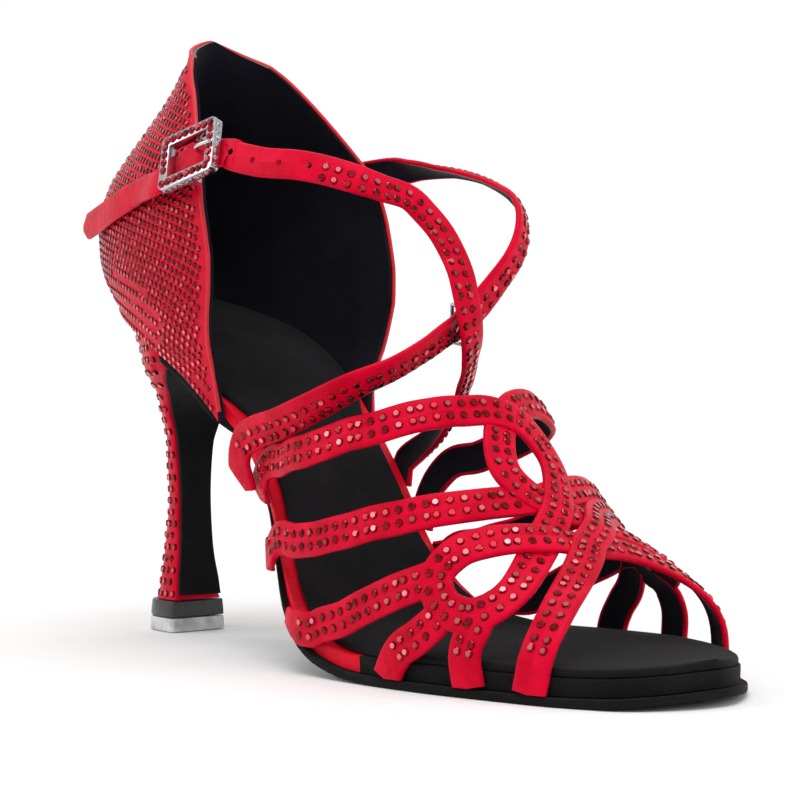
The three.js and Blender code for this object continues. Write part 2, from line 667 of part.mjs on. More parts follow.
function heelRing(heightAt) {
  const ring = [];
  const put = (turn, cheek) => {
    const z = heightAt((level) => heelOutline(level, turn, cheek)[0]);
    const [x, y] = heelOutline(z, turn, cheek);
    ring.push(new THREE.Vector3(x, y, z));
  };
  for (let i = 0; i <= heelBackPoints; i += 1) {
    put(((i / heelBackPoints) * 2 - 1) * (Math.PI / 2), 0);
  }
  [0.99, heelFlat, 0.4].forEach((cheek) => put(1, cheek));
  [0.4, heelFlat, 0.99].forEach((cheek) => put(-1, cheek));
  return ring;
}

function heelBlockGeometry() {
  const rings = heelShares.map((share) =>
    heelRing((xAt) => THREE.MathUtils.lerp(heelFoot, heelTopAt(xAt), share)),
  );
  return loft(rings);
}

addPart('heel_block', heelBlockGeometry(), redSatin);
const collarFoot = tipThick + seam;
const collarRings = [collarFoot, collarFoot + collarThick / 2, collarFoot + collarThick];
addPart('heel_collar', loft(collarRings.map((z) => heelRing(() => z))), blackSuede);
addPart('heel_tip', loft([0, tipThick].map((z) => heelRing(() => z))), {
  color: 0xb8b8ba,
  roughness: 0.4,
  metalness: 0,
});

// Point of the last under a strap, and how far it stands off it.
const footDepth = sockThick + seam + boardThick;
function lastPoint(x, round, off) {
  const side = Math.sign(round) || 1;
  const share = Math.min(Math.abs(round), 1);
  const bed = bedAt(x);
  const crown = smooth(lastSections, 'along', 'crown', x / footLength) * instepHeight;
  const half = boardHalfAt(x, side) + off;
  const turn = (share * Math.PI) / 2;
  const full = side < 0 ? 2 : smooth(lastSections, 'along', 'full', x / footLength);
  const out = half * Math.sin(turn) ** (2 / full);
  const up = (crown + off) * Math.max(Math.cos(turn), 0) ** (2 / full);
  const below = (Math.max(Math.abs(round) - 1, 0) / 0.1) * footDepth;
  return new THREE.Vector3(x, side * out, bed + up - below);
}

function lastNormal(x, round, off) {
  const alongStep = lastPoint(x + 0.5, round, off).sub(lastPoint(x - 0.5, round, off));
  const roundStep = lastPoint(x, round + 0.01, off).sub(lastPoint(x, round - 0.01, off));
  return alongStep.cross(roundStep).normalize();
}

// A flat strap of even width, its corners eased, with a face that looks along each normal.
function ribbon(points, normals, widthAt, thick) {
  const rings = points.map((point, i) => {
    const before = points[Math.max(i - 1, 0)];
    const after = points[Math.min(i + 1, points.length - 1)];
    const run = after.clone().sub(before).normalize();
    const out = normals[i].clone().addScaledVector(run, -normals[i].dot(run)).normalize();
    const across = run.clone().cross(out).normalize();
    const half = widthAt(i) / 2;
    const ease = Math.min(thick * 0.35, half * 0.5);
    const corner = (a, b) =>
      point.clone().addScaledVector(across, a).addScaledVector(out, b);
    return [
      corner(half, -thick / 2 + ease),
      corner(half, thick / 2 - ease),
      corner(half - ease, thick / 2),
      corner(-half + ease, thick / 2),
      corner(-half, thick / 2 - ease),
      corner(-half, -thick / 2 + ease),
      corner(-half + ease, -thick / 2),
      corner(half - ease, -thick / 2),
    ];
  });
  return loft(rings);
}

function vampStrap(rows) {
  const knots = rows.map((row) => new THREE.Vector3(row.along * footLength, row.round * instepHeight, row.lift));
  const curve = new THREE.CatmullRomCurve3(knots, false, 'centripetal');
  const steps = Math.ceil(curve.getLength() / strapStep);
  const points = [];
  const normals = [];
  for (let i = 0; i <= steps; i += 1) {
    const knot = curve.getPoint(i / steps);
    const round = knot.y / instepHeight;
    const off = seam + strapThick / 2 + Math.max(knot.z, 0) * strapThick;
    points.push(lastPoint(knot.x, round, off));
    normals.push(lastNormal(knot.x, round, off));
  }
  return ribbon(points, normals, () => strapWidth, strapThick);
}

// Room that the straps leave round the sole, so that their feet end on the outsole.
function keepClear() {
  const under = soleLayer(boardLow, (x) => outsoleBottomAt(x) - 12, boardLow, 14, -14);
  const beside = soleLayer(bedAt, (x) => outsoleBottomAt(x) - 12, bedAt, seam * 0.9, inCup);
  return toSolid(under).add(toSolid(beside));
}
const solidSole = keepClear();

let vamp = toSolid(vampStrap(outerTwist)).add(toSolid(vampStrap(innerTwist)));
bars.forEach((rows) => {
  vamp = vamp.add(toSolid(vampStrap(rows)));
});
addPart('vamp_straps', fromSolid(vamp.subtract(solidSole)), redSatin);

const degrees = THREE.MathUtils.degToRad;

// Direction that a strap's outer face looks in.
function outward(facing, lean) {
  const level = Math.cos(degrees(lean));
  const ahead = Math.cos(degrees(facing));
  const aside = Math.sin(degrees(facing));
  return new THREE.Vector3(level * ahead, level * aside, Math.sin(degrees(lean)));
}

function freePoint(row) {
  const x = row.along * footLength;
  const z = bedAt(Math.max(x, heelSetIn)) + row.up * instepHeight;
  return { point: new THREE.Vector3(x, row.across * halfBall, z), out: outward(row.facing, row.lean) };
}

// A strap through knots that each give a point and the direction that its face looks in.
function freeStrap(knots, width, pointed) {
  const places = knots.map((knot) => knot.point);
  const curve = new THREE.CatmullRomCurve3(places, false, 'centripetal');
  const length = curve.getLength();
  const steps = Math.ceil(length / strapStep);
  const outAt = (share) => {
    const place = curve.getUtoTmapping(share) * (knots.length - 1);
    const i = Math.min(Math.floor(place), knots.length - 2);
    return knots[i].out.clone().lerp(knots[i + 1].out, place - i).normalize();
  };
  const points = curve.getSpacedPoints(steps);
  const normals = points.map((point, i) => outAt(i / steps));
  const widthAt = (i) => {
    const fromTip = (length * i) / steps;
    return pointed ? width * THREE.MathUtils.clamp(0.35 + (0.65 * fromTip) / tailPoint, 0, 1) : width;
  };
  return { curve, length, outAt, geometry: ribbon(points, normals, widthAt, strapThick) };
}

const instep = freeStrap(instepRoute.map(freePoint), strapWidth, false);
const instepSolid = toSolid(instep.geometry).subtract(solidSole);
addPart('instep_strap', fromSolid(instepSolid), redSatin);

// Frame of the buckle: u runs forward with the strap, v up across it, d out from the shoe.
function buckleFrame() {
  const x = buckleSeat.along * footLength;
  const z = seatLevel + buckleSeat.level * counterHeight;
  const section = counterSection(z, 0);
  const origin = new THREE.Vector3(x, -section.half, z);
  const heading = degrees(buckleSeat.heading);
  const climb = degrees(buckleSeat.climb);
  const lean = degrees(buckleSeat.lean);
  const u = new THREE.Vector3(
    Math.cos(heading) * Math.cos(climb),
    Math.sin(heading) * Math.cos(climb),
    Math.sin(climb),
  );
  const d = new THREE.Vector3(
    Math.sin(heading) * Math.cos(lean),
    -Math.cos(heading) * Math.cos(lean),
    Math.sin(lean),
  );
  d.addScaledVector(u, -d.dot(u)).normalize();
  const v = d.clone().cross(u).normalize();
  return new THREE.Matrix4().makeBasis(u, v, d).setPosition(origin);
}
const buckleMatrix = buckleFrame();
const onBuckle = (u, v, d) => new THREE.Vector3(u, v, d).applyMatrix4(buckleMatrix);
const buckleOut = new THREE.Vector3().setFromMatrixColumn(buckleMatrix, 2);

// The ankle strap: tail, the stretch woven through the buckle, then over the instep.
const strapLow = strapThick / 2 + seam + 0.9;
const strapHigh = strapLow + pinRadius * 2 + seam;
const reach = buckleLength / 2;
const inBuckle = [
  [-reach - 4, -2.2, strapLow + 0.6],
  [-reach * 0.8, -0.8, strapLow],
  [-reach * 0.4, -0.3, (strapLow + strapHigh) / 2],
  [0, -0.2, strapHigh],
  [reach * 0.4, -0.3, strapHigh - seam],
  [reach * 0.8, -0.9, strapLow],
  [reach + 4, -3.4, strapLow + 0.4],
].map(([u, v, d]) => ({ point: onBuckle(u, v, d), out: buckleOut }));
const ankleKnots = [...ankleTail.map(freePoint), ...inBuckle, ...ankleFront.map(freePoint)];
const ankle = freeStrap(ankleKnots, ankleStrapWidth, true);

// Round holes punched through the strap, one of them for the prong.
function punch(at, direction, radius) {
  const rod = new THREE.CylinderGeometry(radius, radius, strapThick * 4, 12);
  rod.applyQuaternion(new THREE.Quaternion().setFromUnitVectors(new THREE.Vector3(0, 1, 0), direction));
  rod.translate(at.x, at.y, at.z);
  return toSolid(rod);
}

const prongHole = reach * 0.38;
const prongRoom = prongRadius + seam * 3;
const prongPunch = punch(onBuckle(prongHole, prongAside, strapHigh - 0.5), buckleOut, prongRoom);
let ankleSolid = toSolid(ankle.geometry).subtract(prongPunch).subtract(solidSole);
const buckleShare = nearestShare(ankle.curve, onBuckle(reach, 0, strapLow));
for (let i = 1; i <= holeCount; i += 1) {
  const share = buckleShare + (i * holePitch - holePitch / 2) / ankle.length;
  const at = ankle.curve.getPointAt(share);
  ankleSolid = ankleSolid.subtract(punch(at, ankle.outAt(share), holeRadius));
}
addPart('ankle_strap', fromSolid(ankleSolid), redSatin);

function nearestShare(curve, target) {
  let best = 0;
  let least = Infinity;
  for (let i = 0; i <= 400; i += 1) {
    const gap = curve.getPointAt(i / 400).distanceTo(target);
    if (gap < least) {
      least = gap;
      best = i / 400;
    }
  }
  return best;
}

// The buckle frame: a square rim set with stones and a pin across its middle.
function roundedFrame() {
  const shape = new THREE.Shape();
  const w = buckleLength / 2;
  const h = buckleHeight / 2;
  const r = 1.6;
  shape.moveTo(-w + r, -h);
  shape.lineTo(w - r, -h);
  shape.absarc(w - r, -h + r, r, -Math.PI / 2, 0, false);
  shape.lineTo(w, h - r);
  shape.absarc(w - r, h - r, r, 0, Math.PI / 2, false);
  shape.lineTo(-w + r, h);
  shape.absarc(-w + r, h - r, r, Math.PI / 2, Math.PI, false);
  shape.lineTo(-w, -h + r);
  shape.absarc(-w + r, -h + r, r, Math.PI, Math.PI * 1.5, false);
  const hole = new THREE.Path();
  const iw = w - buckleBar;
  const ih = h - buckleBar;
  hole.moveTo(-iw, -ih);
  hole.lineTo(-iw, ih);
  hole.lineTo(iw, ih);
  hole.lineTo(iw, -ih);
  hole.closePath();
  shape.holes.push(hole);
  return new THREE.ExtrudeGeometry(shape, { depth: buckleProud, bevelEnabled: false, curveSegments: 3 });
}

const frameFoot = strapLow + strapThick / 2 + seam * 2;
const rim = roundedFrame();
rim.translate(0, 0, frameFoot);
const pinAt = strapHigh - strapThick / 2 - seam - pinRadius;
const pin = new THREE.CylinderGeometry(pinRadius, pinRadius, buckleHeight - buckleBar, 12);
pin.translate(0, 0, pinAt);
let frameSolid = toSolid(rim).add(toSolid(pin));
for (const side of [-1, 1]) {
  const lugHeight = frameFoot + 0.4 - (pinAt - pinRadius);
  const lug = new THREE.BoxGeometry(buckleBar, buckleBar * 0.6, lugHeight);
  lug.translate(0, (side * (buckleHeight - buckleBar)) / 2, pinAt - pinRadius + lugHeight / 2);
  frameSolid = frameSolid.add(toSolid(lug));
}
const frameGeometry = fromSolid(frameSolid);
frameGeometry.applyMatrix4(buckleMatrix);
addPart('buckle_frame', frameGeometry, polishedMetal);

// The prong: a bent rod from beside the pin, up through its hole and over the front bar.
function prongGeometry() {
  const tipHeight = frameFoot + buckleProud + seam + prongRadius;
  const start = pinRadius + seam + prongRadius;
  const lowAt = pinAt - 0.1;
  const knots = [
    new THREE.Vector3(start, prongAside, lowAt),
    new THREE.Vector3(prongHole - 1.1, prongAside, lowAt),
    new THREE.Vector3(prongHole - 0.1, prongAside, lowAt + 0.7),
    new THREE.Vector3(prongHole, prongAside, strapHigh - 0.4),
    new THREE.Vector3(prongHole + 0.2, prongAside, tipHeight - 0.8),
    new THREE.Vector3(prongHole + 1.2, prongAside, tipHeight),
    new THREE.Vector3(reach - 0.8, prongAside, tipHeight),
  ];
  const section = new THREE.Shape();
  section.absarc(0, 0, prongRadius, 0, Math.PI * 2, false);
  const rod = new THREE.ExtrudeGeometry(section, {
    steps: 16,
    extrudePath: new THREE.CatmullRomCurve3(knots, false, 'centripetal'),
    curveSegments: 4,
    bevelEnabled: false,
  });
  rod.applyMatrix4(buckleMatrix);
  return rod;
}
addPart('buckle_prong', prongGeometry(), polishedMetal);

// The keeper: a flat wire loop on the back of the ankle strap that the instep strap runs in.
function keeperGeometry() {
  const share = nearestShare(instep.curve, freePoint(instepRoute[keeperRow]).point);
  const at = instep.curve.getPointAt(share);
  const run = instep.curve.getTangentAt(share);
  const out = instep.outAt(share);
  out.addScaledVector(run, -out.dot(run)).normalize();
  const across = run.clone().cross(out).normalize();
  const inner = [strapWidth / 2 + seam * 2, strapThick / 2 + seam * 2];
  const outer = inner.map((size) => size + keeperWire);
  const loop = new THREE.Shape();
  loop.moveTo(-outer[0], -outer[1]);
  loop.lineTo(outer[0], -outer[1]);
  loop.lineTo(outer[0], outer[1]);
  loop.lineTo(-outer[0], outer[1]);
  loop.closePath();
  const gap = new THREE.Path();
  gap.moveTo(-inner[0], -inner[1]);
  gap.lineTo(-inner[0], inner[1]);
  gap.lineTo(inner[0], inner[1]);
  gap.lineTo(inner[0], -inner[1]);
  gap.closePath();
  loop.holes.push(gap);
  const wire = new THREE.ExtrudeGeometry(loop, { depth: keeperWire * 1.6, bevelEnabled: false });
  wire.translate(0, 0, -keeperWire * 0.8);
  wire.applyMatrix4(new THREE.Matrix4().makeBasis(across, out, run.clone().negate()).setPosition(at));
  return wire;
}
addPart('strap_keeper', keeperGeometry(), polishedMetal);

// The shoe stands on the floor, with its origin in the middle of the floor that it covers.
const box = new THREE.Box3().setFromObject(group);
group.children.forEach((mesh) => {
  mesh.position.set(-(box.min.x + box.max.x) / 2, -(box.min.y + box.max.y) / 2, -box.min.z);
});

export default group;
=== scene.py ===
import math
import random

import bpy
from mathutils import Matrix, Vector


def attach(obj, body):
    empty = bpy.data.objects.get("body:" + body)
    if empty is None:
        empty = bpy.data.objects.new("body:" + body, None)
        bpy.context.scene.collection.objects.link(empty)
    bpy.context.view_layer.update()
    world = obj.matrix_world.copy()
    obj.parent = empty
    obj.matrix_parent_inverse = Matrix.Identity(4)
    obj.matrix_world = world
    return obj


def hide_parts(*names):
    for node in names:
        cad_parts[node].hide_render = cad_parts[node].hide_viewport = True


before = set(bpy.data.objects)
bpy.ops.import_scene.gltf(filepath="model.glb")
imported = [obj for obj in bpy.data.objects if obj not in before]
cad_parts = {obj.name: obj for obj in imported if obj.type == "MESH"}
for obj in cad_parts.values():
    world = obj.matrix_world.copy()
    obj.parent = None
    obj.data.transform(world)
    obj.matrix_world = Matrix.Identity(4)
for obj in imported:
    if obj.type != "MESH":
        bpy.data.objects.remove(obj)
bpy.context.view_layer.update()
bpy.ops.object.select_all(action="DESELECT")

# The footbed: a thin foam sock under black microsuede, cut to the last and glued on the
# board, short of its edge at the waist. All the pieces are laid on this one last, in
# millimetres from the back of the heel, with places along it as shares of its sizes.
mm = 0.001
last_origin = Vector((-0.114116, -0.002391, 0))
foot_length = 228
half_ball = 41
heel_rise = 93.2
instep_height = 77.4
toe_spring = 2
heel_set_in = 5
outsole_thick = 1.8
board_thick = 3.9
sock_thick = 1.7
seam = 0.3
outsole_margin = 1.7
toe_round = 14
counter_height = 66.2
counter_wall = 2.2
counter_top_drop = 7
stack = outsole_thick + seam + board_thick + seam + sock_thick


def table(columns, rows):
    return {name: [row[i] for row in rows] for i, name in enumerate(columns.split())}


last = table(
    "along rise lateral medial crown full spring edge",
    [
        (0.022, 1.0, 0.02, 0.02, 1.2, 2, 0, 0),
        (0.05, 0.98, 0.42, 0.43, 1.2, 2, 0, 0),
        (0.1, 0.945, 0.56, 0.59, 1.25, 2, 0, 0),
        (0.155, 0.905, 0.62, 0.65, 1.3, 2, 0, 0),
        (0.22, 0.845, 0.63, 0.64, 1.35, 2, 0, 0),
        (0.275, 0.775, 0.61, 0.61, 1.42, 2, 0, -0.8),
        (0.335, 0.675, 0.58, 0.58, 1.46, 2, 0, -1.4),
        (0.385, 0.56, 0.555, 0.57, 1.4, 2, 0, -1.2),
        (0.44, 0.4, 0.595, 0.55, 1.37, 2, 0, 0),
        (0.48, 0.255, 0.68, 0.545, 1.35, 2, 0, 0.7),
        (0.52, 0.145, 0.785, 0.575, 1.33, 2, 0, 1),
        (0.555, 0.07, 0.845, 0.66, 1.255, 2, 0, 1),
        (0.59, 0.03, 0.865, 0.76, 1.155, 1.95, 0, 1),
        (0.64, 0.005, 0.87, 0.9, 0.985, 1.85, 0, 1),
        (0.7, 0, 0.86, 1.02, 0.72, 1.75, 0, 1),
        (0.77, 0, 0.82, 1.04, 0.435, 1.7, 0, 1),
        (0.83, 0, 0.755, 0.95, 0.27, 2.45, 0, 1),
        (0.89, 0, 0.68, 0.78, 0.185, 2.3, 0, 1),
        (0.94, 0, 0.57, 0.55, 0.125, 2, 0.15, 1),
        (0.975, 0, 0.5, 0.4, 0.08, 2, 0.5, 1),
        (1.0, 0, 0.43, 0.3, 0.05, 2, 1, 1),
    ],
)
cup = table(
    "level back front half full",
    [
        (-0.6, 0.135, 0.36, 0.655, 2.1),
        (-0.45, 0.115, 0.355, 0.68, 2.1),
        (-0.3, 0.09, 0.36, 0.755, 2.1),
        (-0.2, 0.067, 0.365, 0.78, 2.1),
        (-0.1, 0.042, 0.37, 0.79, 2.1),
        (0, 0.015, 0.37, 0.79, 2.1),
        (0.1, 0.003, 0.365, 0.79, 2.1),
        (0.2, 0.001, 0.358, 0.79, 2.1),
        (0.3, 0.005, 0.35, 0.775, 2.05),
        (0.4, 0.02, 0.34, 0.745, 2),
        (0.5, 0.052, 0.32, 0.685, 1.95),
        (0.6, 0.085, 0.3, 0.61, 1.85),
        (0.7, 0.118, 0.278, 0.535, 1.7),
        (0.8, 0.148, 0.253, 0.46, 1.5),
        (0.88, 0.167, 0.232, 0.37, 1.4),
        (0.95, 0.177, 0.207, 0.27, 1.35),
        (1.02, 0.183, 0.19, 0.16, 1.3),
    ],
)


def smooth(rows, key, column, at):
    """Smooth curve through a table's column, with no overshoot between its rows."""
    keys, values = rows[key], rows[column]
    end = len(keys) - 1
    place = min(max(at, keys[0]), keys[end])
    i = 0
    while i < end - 1 and keys[i + 1] <= place:
        i += 1

    def chord(k):
        return (values[k + 1] - values[k]) / (keys[k + 1] - keys[k])

    def slope(k):
        if k == 0:
            return chord(0)
        if k == end:
            return chord(end - 1)
        before, after = chord(k - 1), chord(k)
        return 0 if before * after <= 0 else 2 * before * after / (before + after)

    span = keys[i + 1] - keys[i]
    t = (place - keys[i]) / span
    low = values[i] * (2 * t**3 - 3 * t**2 + 1) + slope(i) * span * (t**3 - 2 * t**2 + t)
    return low + values[i + 1] * (3 * t**2 - 2 * t**3) + slope(i + 1) * span * (t**3 - t**2)


def bed_at(x):
    rise = smooth(last, "along", "rise", x / foot_length) * heel_rise
    return stack + rise + smooth(last, "along", "spring", x / foot_length) * toe_spring


def board_top_at(x):
    return bed_at(x) - sock_thick - seam


def outsole_top_at(x):
    return board_top_at(x) - board_thick - seam


seat_level = bed_at(heel_set_in)


def cup_section(z, inward):
    level = (z - seat_level) / counter_height
    back = smooth(cup, "level", "back", level) * foot_length + inward
    front = smooth(cup, "level", "front", level) * foot_length
    half = smooth(cup, "level", "half", level) * half_ball - inward
    return back, front, max(front - back, 0.5), half, smooth(cup, "level", "full", level)


def feather_half(x, side):
    column = "lateral" if side < 0 else "medial"
    return smooth(last, "along", column, x / foot_length) * half_ball


def layer_half(x, side, height_at, margin, inset, end):
    """Half width of a sole layer: within the cup it follows that, then the feather edge."""
    back, front, reach, half, full = cup_section(height_at(x), inset)
    share = min(max((front - x) / reach, 0), 1)
    inside = half * (1 - share**full) ** (1 / full)
    toe = min(max((x - end + toe_round) / toe_round, 0), 1)
    open_half = (feather_half(x, side) + margin) * math.sqrt(1 - toe**2)
    t = min(max((x - front + 4) / 8, 0), 1)
    return inside + (open_half - inside) * t * t * (3 - 2 * t)


def pick(piece):
    bpy.ops.object.select_all(action="DESELECT")
    piece.select_set(True)
    bpy.context.view_layer.objects.active = piece


def loft(name, rings, finishes, slots=None, cap_slot=0):
    """Closed skin through rings of points in the last's millimetres, with a cloth UV map."""
    count = len(rings[0])
    points = [p * mm + last_origin for ring in rings for p in ring]
    faces, slot_of = [], []
    for i in range(len(rings) - 1):
        for j in range(count):
            k = (j + 1) % count
            a, b = i * count + j, i * count + k
            faces.append((a, b, b + count, a + count))
            slot_of.append(slots[j] if slots else 0)
    faces.append(tuple(reversed(range(count))))
    faces.append(tuple(range(len(points) - count, len(points))))
    slot_of += [cap_slot, cap_slot]
    mesh = bpy.data.meshes.new(name)
    mesh.from_pydata(points, [], faces)
    for finish in finishes:
        mesh.materials.append(finish)
    mesh.polygons.foreach_set("material_index", slot_of)
    runs = [0]
    for i in range(1, len(rings)):
        step = sum((rings[i][j] - rings[i - 1][j]).length for j in range(0, count, 3))
        runs.append(runs[-1] + step / len(range(0, count, 3)))
    middle = rings[len(rings) // 2]
    rounds = [0]
    for j in range(count):
        rounds.append(rounds[-1] + (middle[(j + 1) % count] - middle[j]).length)
    cloth = mesh.uv_layers.new(name="cloth")
    for face in mesh.polygons:
        for loop in face.loop_indices:
            vertex = mesh.loops[loop].vertex_index
            i, j = divmod(vertex, count)
            wrapped = face.index < (len(rings) - 1) * count and face.index % count == count - 1
            across = rounds[count] if wrapped and j == 0 else rounds[j]
            cloth.data[loop].uv = (runs[i] / 100, across / 100)
    piece = bpy.data.objects.new(name, mesh)
    bpy.context.scene.collection.objects.link(piece)
    pick(piece)
    bpy.ops.object.mode_set(mode="EDIT")
    bpy.ops.mesh.select_all(action="SELECT")
    bpy.ops.mesh.normals_make_consistent(inside=False)
    bpy.ops.object.mode_set(mode="OBJECT")
    bpy.ops.object.shade_smooth_by_angle(angle=math.radians(50))
    return piece


def srgb(code):
    """Linear colour of an sRGB hex value."""
    parts = [int(code[i : i + 2], 16) / 255 for i in (0, 2, 4)]
    return [c / 12.92 if c <= 0.04045 else ((c + 0.055) / 1.055) ** 2.4 for c in parts] + [1]


def add_node(tree, kind, settings=(), **links):
    """One shader node, with its settings, input values and the sockets that feed it."""
    node = tree.nodes.new(kind)
    for key, value in dict(settings).items():
        if hasattr(node, key):
            setattr(node, key, value)
        else:
            node.inputs[key].default_value = value
    for key, source in links.items():
        tree.links.new(source, node.inputs[key.replace("_", " ")])
    return node


def new_material(name, **values):
    """A Principled material with its plain values set on the shader's own sockets."""
    material = bpy.data.materials.new(name)
    material.use_nodes = True
    shader = material.node_tree.nodes["Principled BSDF"]
    for key, value in values.items():
        shader.inputs[key.replace("_", " ")].default_value = value
    return material, material.node_tree, shader


# Microsuede: short split fibres that drink the light, with a lighter bloom where the nap
# stands up. The nap is 0.1 mm fine and is drawn at 0.5 mm, so that it shows.
def nap_material(name, dark, light, roughness):
    material, tree, shader = new_material(name, Roughness=roughness, Specular_IOR_Level=0.12)
    shader.inputs["Sheen Weight"].default_value = 0.04
    shader.inputs["Sheen Roughness"].default_value = 0.5
    where = add_node(tree, "ShaderNodeTexCoord")
    patch = add_node(tree, "ShaderNodeTexNoise", {"Scale": 60, "Detail": 3},
                     Vector=where.outputs["Object"])
    fibre = add_node(tree, "ShaderNodeTexNoise", {"Scale": 2000, "Detail": 2},
                     Vector=where.outputs["Object"])
    both = add_node(tree, "ShaderNodeMath", {"operation": "MULTIPLY"})
    tree.links.new(patch.outputs["Fac"], both.inputs[0])
    tree.links.new(fibre.outputs["Fac"], both.inputs[1])
    ramp = add_node(tree, "ShaderNodeValToRGB", Fac=both.outputs[0])
    ramp.color_ramp.elements[0].position = 0.12
    ramp.color_ramp.elements[0].color = srgb(dark)
    ramp.color_ramp.elements[1].position = 0.45
    ramp.color_ramp.elements[1].color = srgb(light)
    bump = add_node(tree, "ShaderNodeBump", {"Strength": 0.35, "Distance": 0.0002},
                    Height=fibre.outputs["Fac"])
    tree.links.new(ramp.outputs["Color"], shader.inputs["Base Color"])
    tree.links.new(bump.outputs["Normal"], shader.inputs["Normal"])
    return material


footbed_suede = nap_material("microsuede_footbed", "0f0e10", "1f1d20", 0.95)
lining_suede = nap_material("microsuede_lining", "0c0b16", "1c1b26", 0.85)
sole_suede = nap_material("chrome_suede_outsole", "0d0c0d", "1f1e1f", 0.95)

sole_stations = 110


def layer_station(i, start, end):
    even = foot_length * (1 - math.cos(math.pi * i / sole_stations)) / 2
    near_end = end - (1 - i / sole_stations) * 6
    return min(max(even, start + i / sole_stations * 2), near_end)


def layer_rings(top_at, thick, height_at, margin_at, inset, roll, crown, end):
    """Rings of a sole layer with a rolled upper edge and a top that may be padded."""
    start = heel_set_in
    for _ in range(12):
        start = cup_section(height_at(start), inset)[0]
    rings = []
    for i in range(sole_stations + 1):
        x = layer_station(i, start, end)
        outer = max(layer_half(x, -1, height_at, margin_at(x), inset, end), 0.8)
        inner = max(layer_half(x, 1, height_at, margin_at(x), inset, end), 0.8)
        edge = min(roll, (inner + outer) / 6)
        z = top_at(x)
        ring = []
        for y, turn in ((-outer, -1), (inner, 1)):
            arc = [(math.sin(a * math.pi / 8), math.cos(a * math.pi / 8)) for a in range(5)]
            if turn < 0:
                arc.reverse()
            side = [Vector((x, y - turn * edge * (1 - s), z - edge * (1 - c))) for s, c in arc]
            if turn > 0:
                for k in range(1, 8):
                    share = k / 8
                    across = (-outer + edge) + share * (inner + outer - 2 * edge)
                    pad = crown * math.sin(math.pi * share) ** 0.6
                    ring.append(Vector((x, across, z + pad)))
            ring += side
        ring.append(Vector((x, inner - 0.2, z - thick)))
        ring.append(Vector((x, (inner - outer) / 2, z - thick)))
        ring.append(Vector((x, -outer + 0.2, z - thick)))
        rings.append(ring)
    return rings


def settle(piece, slot, *nodes):
    """The piece rides on the shoe and stands for its CAD nodes; the slot is not used."""
    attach(piece, "root")
    if nodes:
        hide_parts(*nodes)


in_cup = counter_wall + seam


def footbed_margin(x):
    waist = 1 - min(max((x / foot_length - 0.56) / 0.12, 0), 1)
    return -0.5 - 3.0 * waist


footbed = loft(
    "padded_footbed",
    layer_rings(bed_at, sock_thick, lambda x: board_top_at(x) + seam, footbed_margin,
                in_cup + 0.5, 1.1, 0.5, foot_length - outsole_margin - 0.6),
    [footbed_suede],
)
settle(footbed, "black_lining", "footbed")

# The insole board: stiff fibre board, with red polyester satin wrapped over its edge from
# the heel to the ball and lasted under it. The forefoot edge is black. The satin's threads
# are 0.12 mm apart and are drawn at 0.4 mm, so that they show.
thread = 0.4


def satin_material(name, deep, bright):
    material, tree, shader = new_material(name, Roughness=0.42, Specular_IOR_Level=0.22)
    shader.inputs["Sheen Weight"].default_value = 0.05
    shader.inputs["Sheen Roughness"].default_value = 0.35
    shader.inputs["Sheen Tint"].default_value = srgb("ff2a40")
    shader.inputs["Specular Tint"].default_value = srgb("ff6070")
    cloth = add_node(tree, "ShaderNodeUVMap", {"uv_map": "cloth"})
    turned = add_node(tree, "ShaderNodeMapping", Vector=cloth.outputs["UV"])
    turned.inputs["Rotation"].default_value = (0, 0, math.radians(38))
    floats = add_node(tree, "ShaderNodeTexWave", {"Scale": 100 / thread / 6.3, "Distortion": 1.5,
                                                  "Detail": 2, "Detail Scale": 3},
                      Vector=turned.outputs["Vector"])
    pull = add_node(tree, "ShaderNodeTexNoise", {"Scale": 9, "Detail": 4},
                    Vector=cloth.outputs["UV"])
    ramp = add_node(tree, "ShaderNodeValToRGB", Fac=pull.outputs["Fac"])
    ramp.color_ramp.elements[0].position = 0.3
    ramp.color_ramp.elements[0].color = srgb(deep)
    ramp.color_ramp.elements[1].position = 0.7
    ramp.color_ramp.elements[1].color = srgb(bright)
    pucker = add_node(tree, "ShaderNodeTexNoise", {"Scale": 30, "Detail": 2},
                      Vector=cloth.outputs["UV"])
    soft = add_node(tree, "ShaderNodeBump", {"Strength": 0.5, "Distance": 0.0006},
                    Height=pucker.outputs["Fac"])
    bump = add_node(tree, "ShaderNodeBump", {"Strength": 0.25, "Distance": 0.0001},
                    Height=floats.outputs["Fac"], Normal=soft.outputs["Normal"])
    tree.links.new(ramp.outputs["Color"], shader.inputs["Base Color"])
    tree.links.new(bump.outputs["Normal"], shader.inputs["Normal"])
    return material


red_satin = satin_material("red_polyester_satin", "bc0022", "e00a34")
board_satin = satin_material("red_satin_wrapped_board", "c4001c", "ee1430")

board = loft(
    "wrapped_insole_board",
    layer_rings(board_top_at, board_thick, lambda x: outsole_top_at(x) + seam, lambda x: 0,
                in_cup, 0.5, 0, foot_length - outsole_margin),
    [board_satin, sole_suede],
)
for face in board.data.polygons:
    if face.center.x > (foot_length * 0.66) * mm + last_origin.x:
        face.material_index = 1
settle(board, "red_satin", "insole_board")

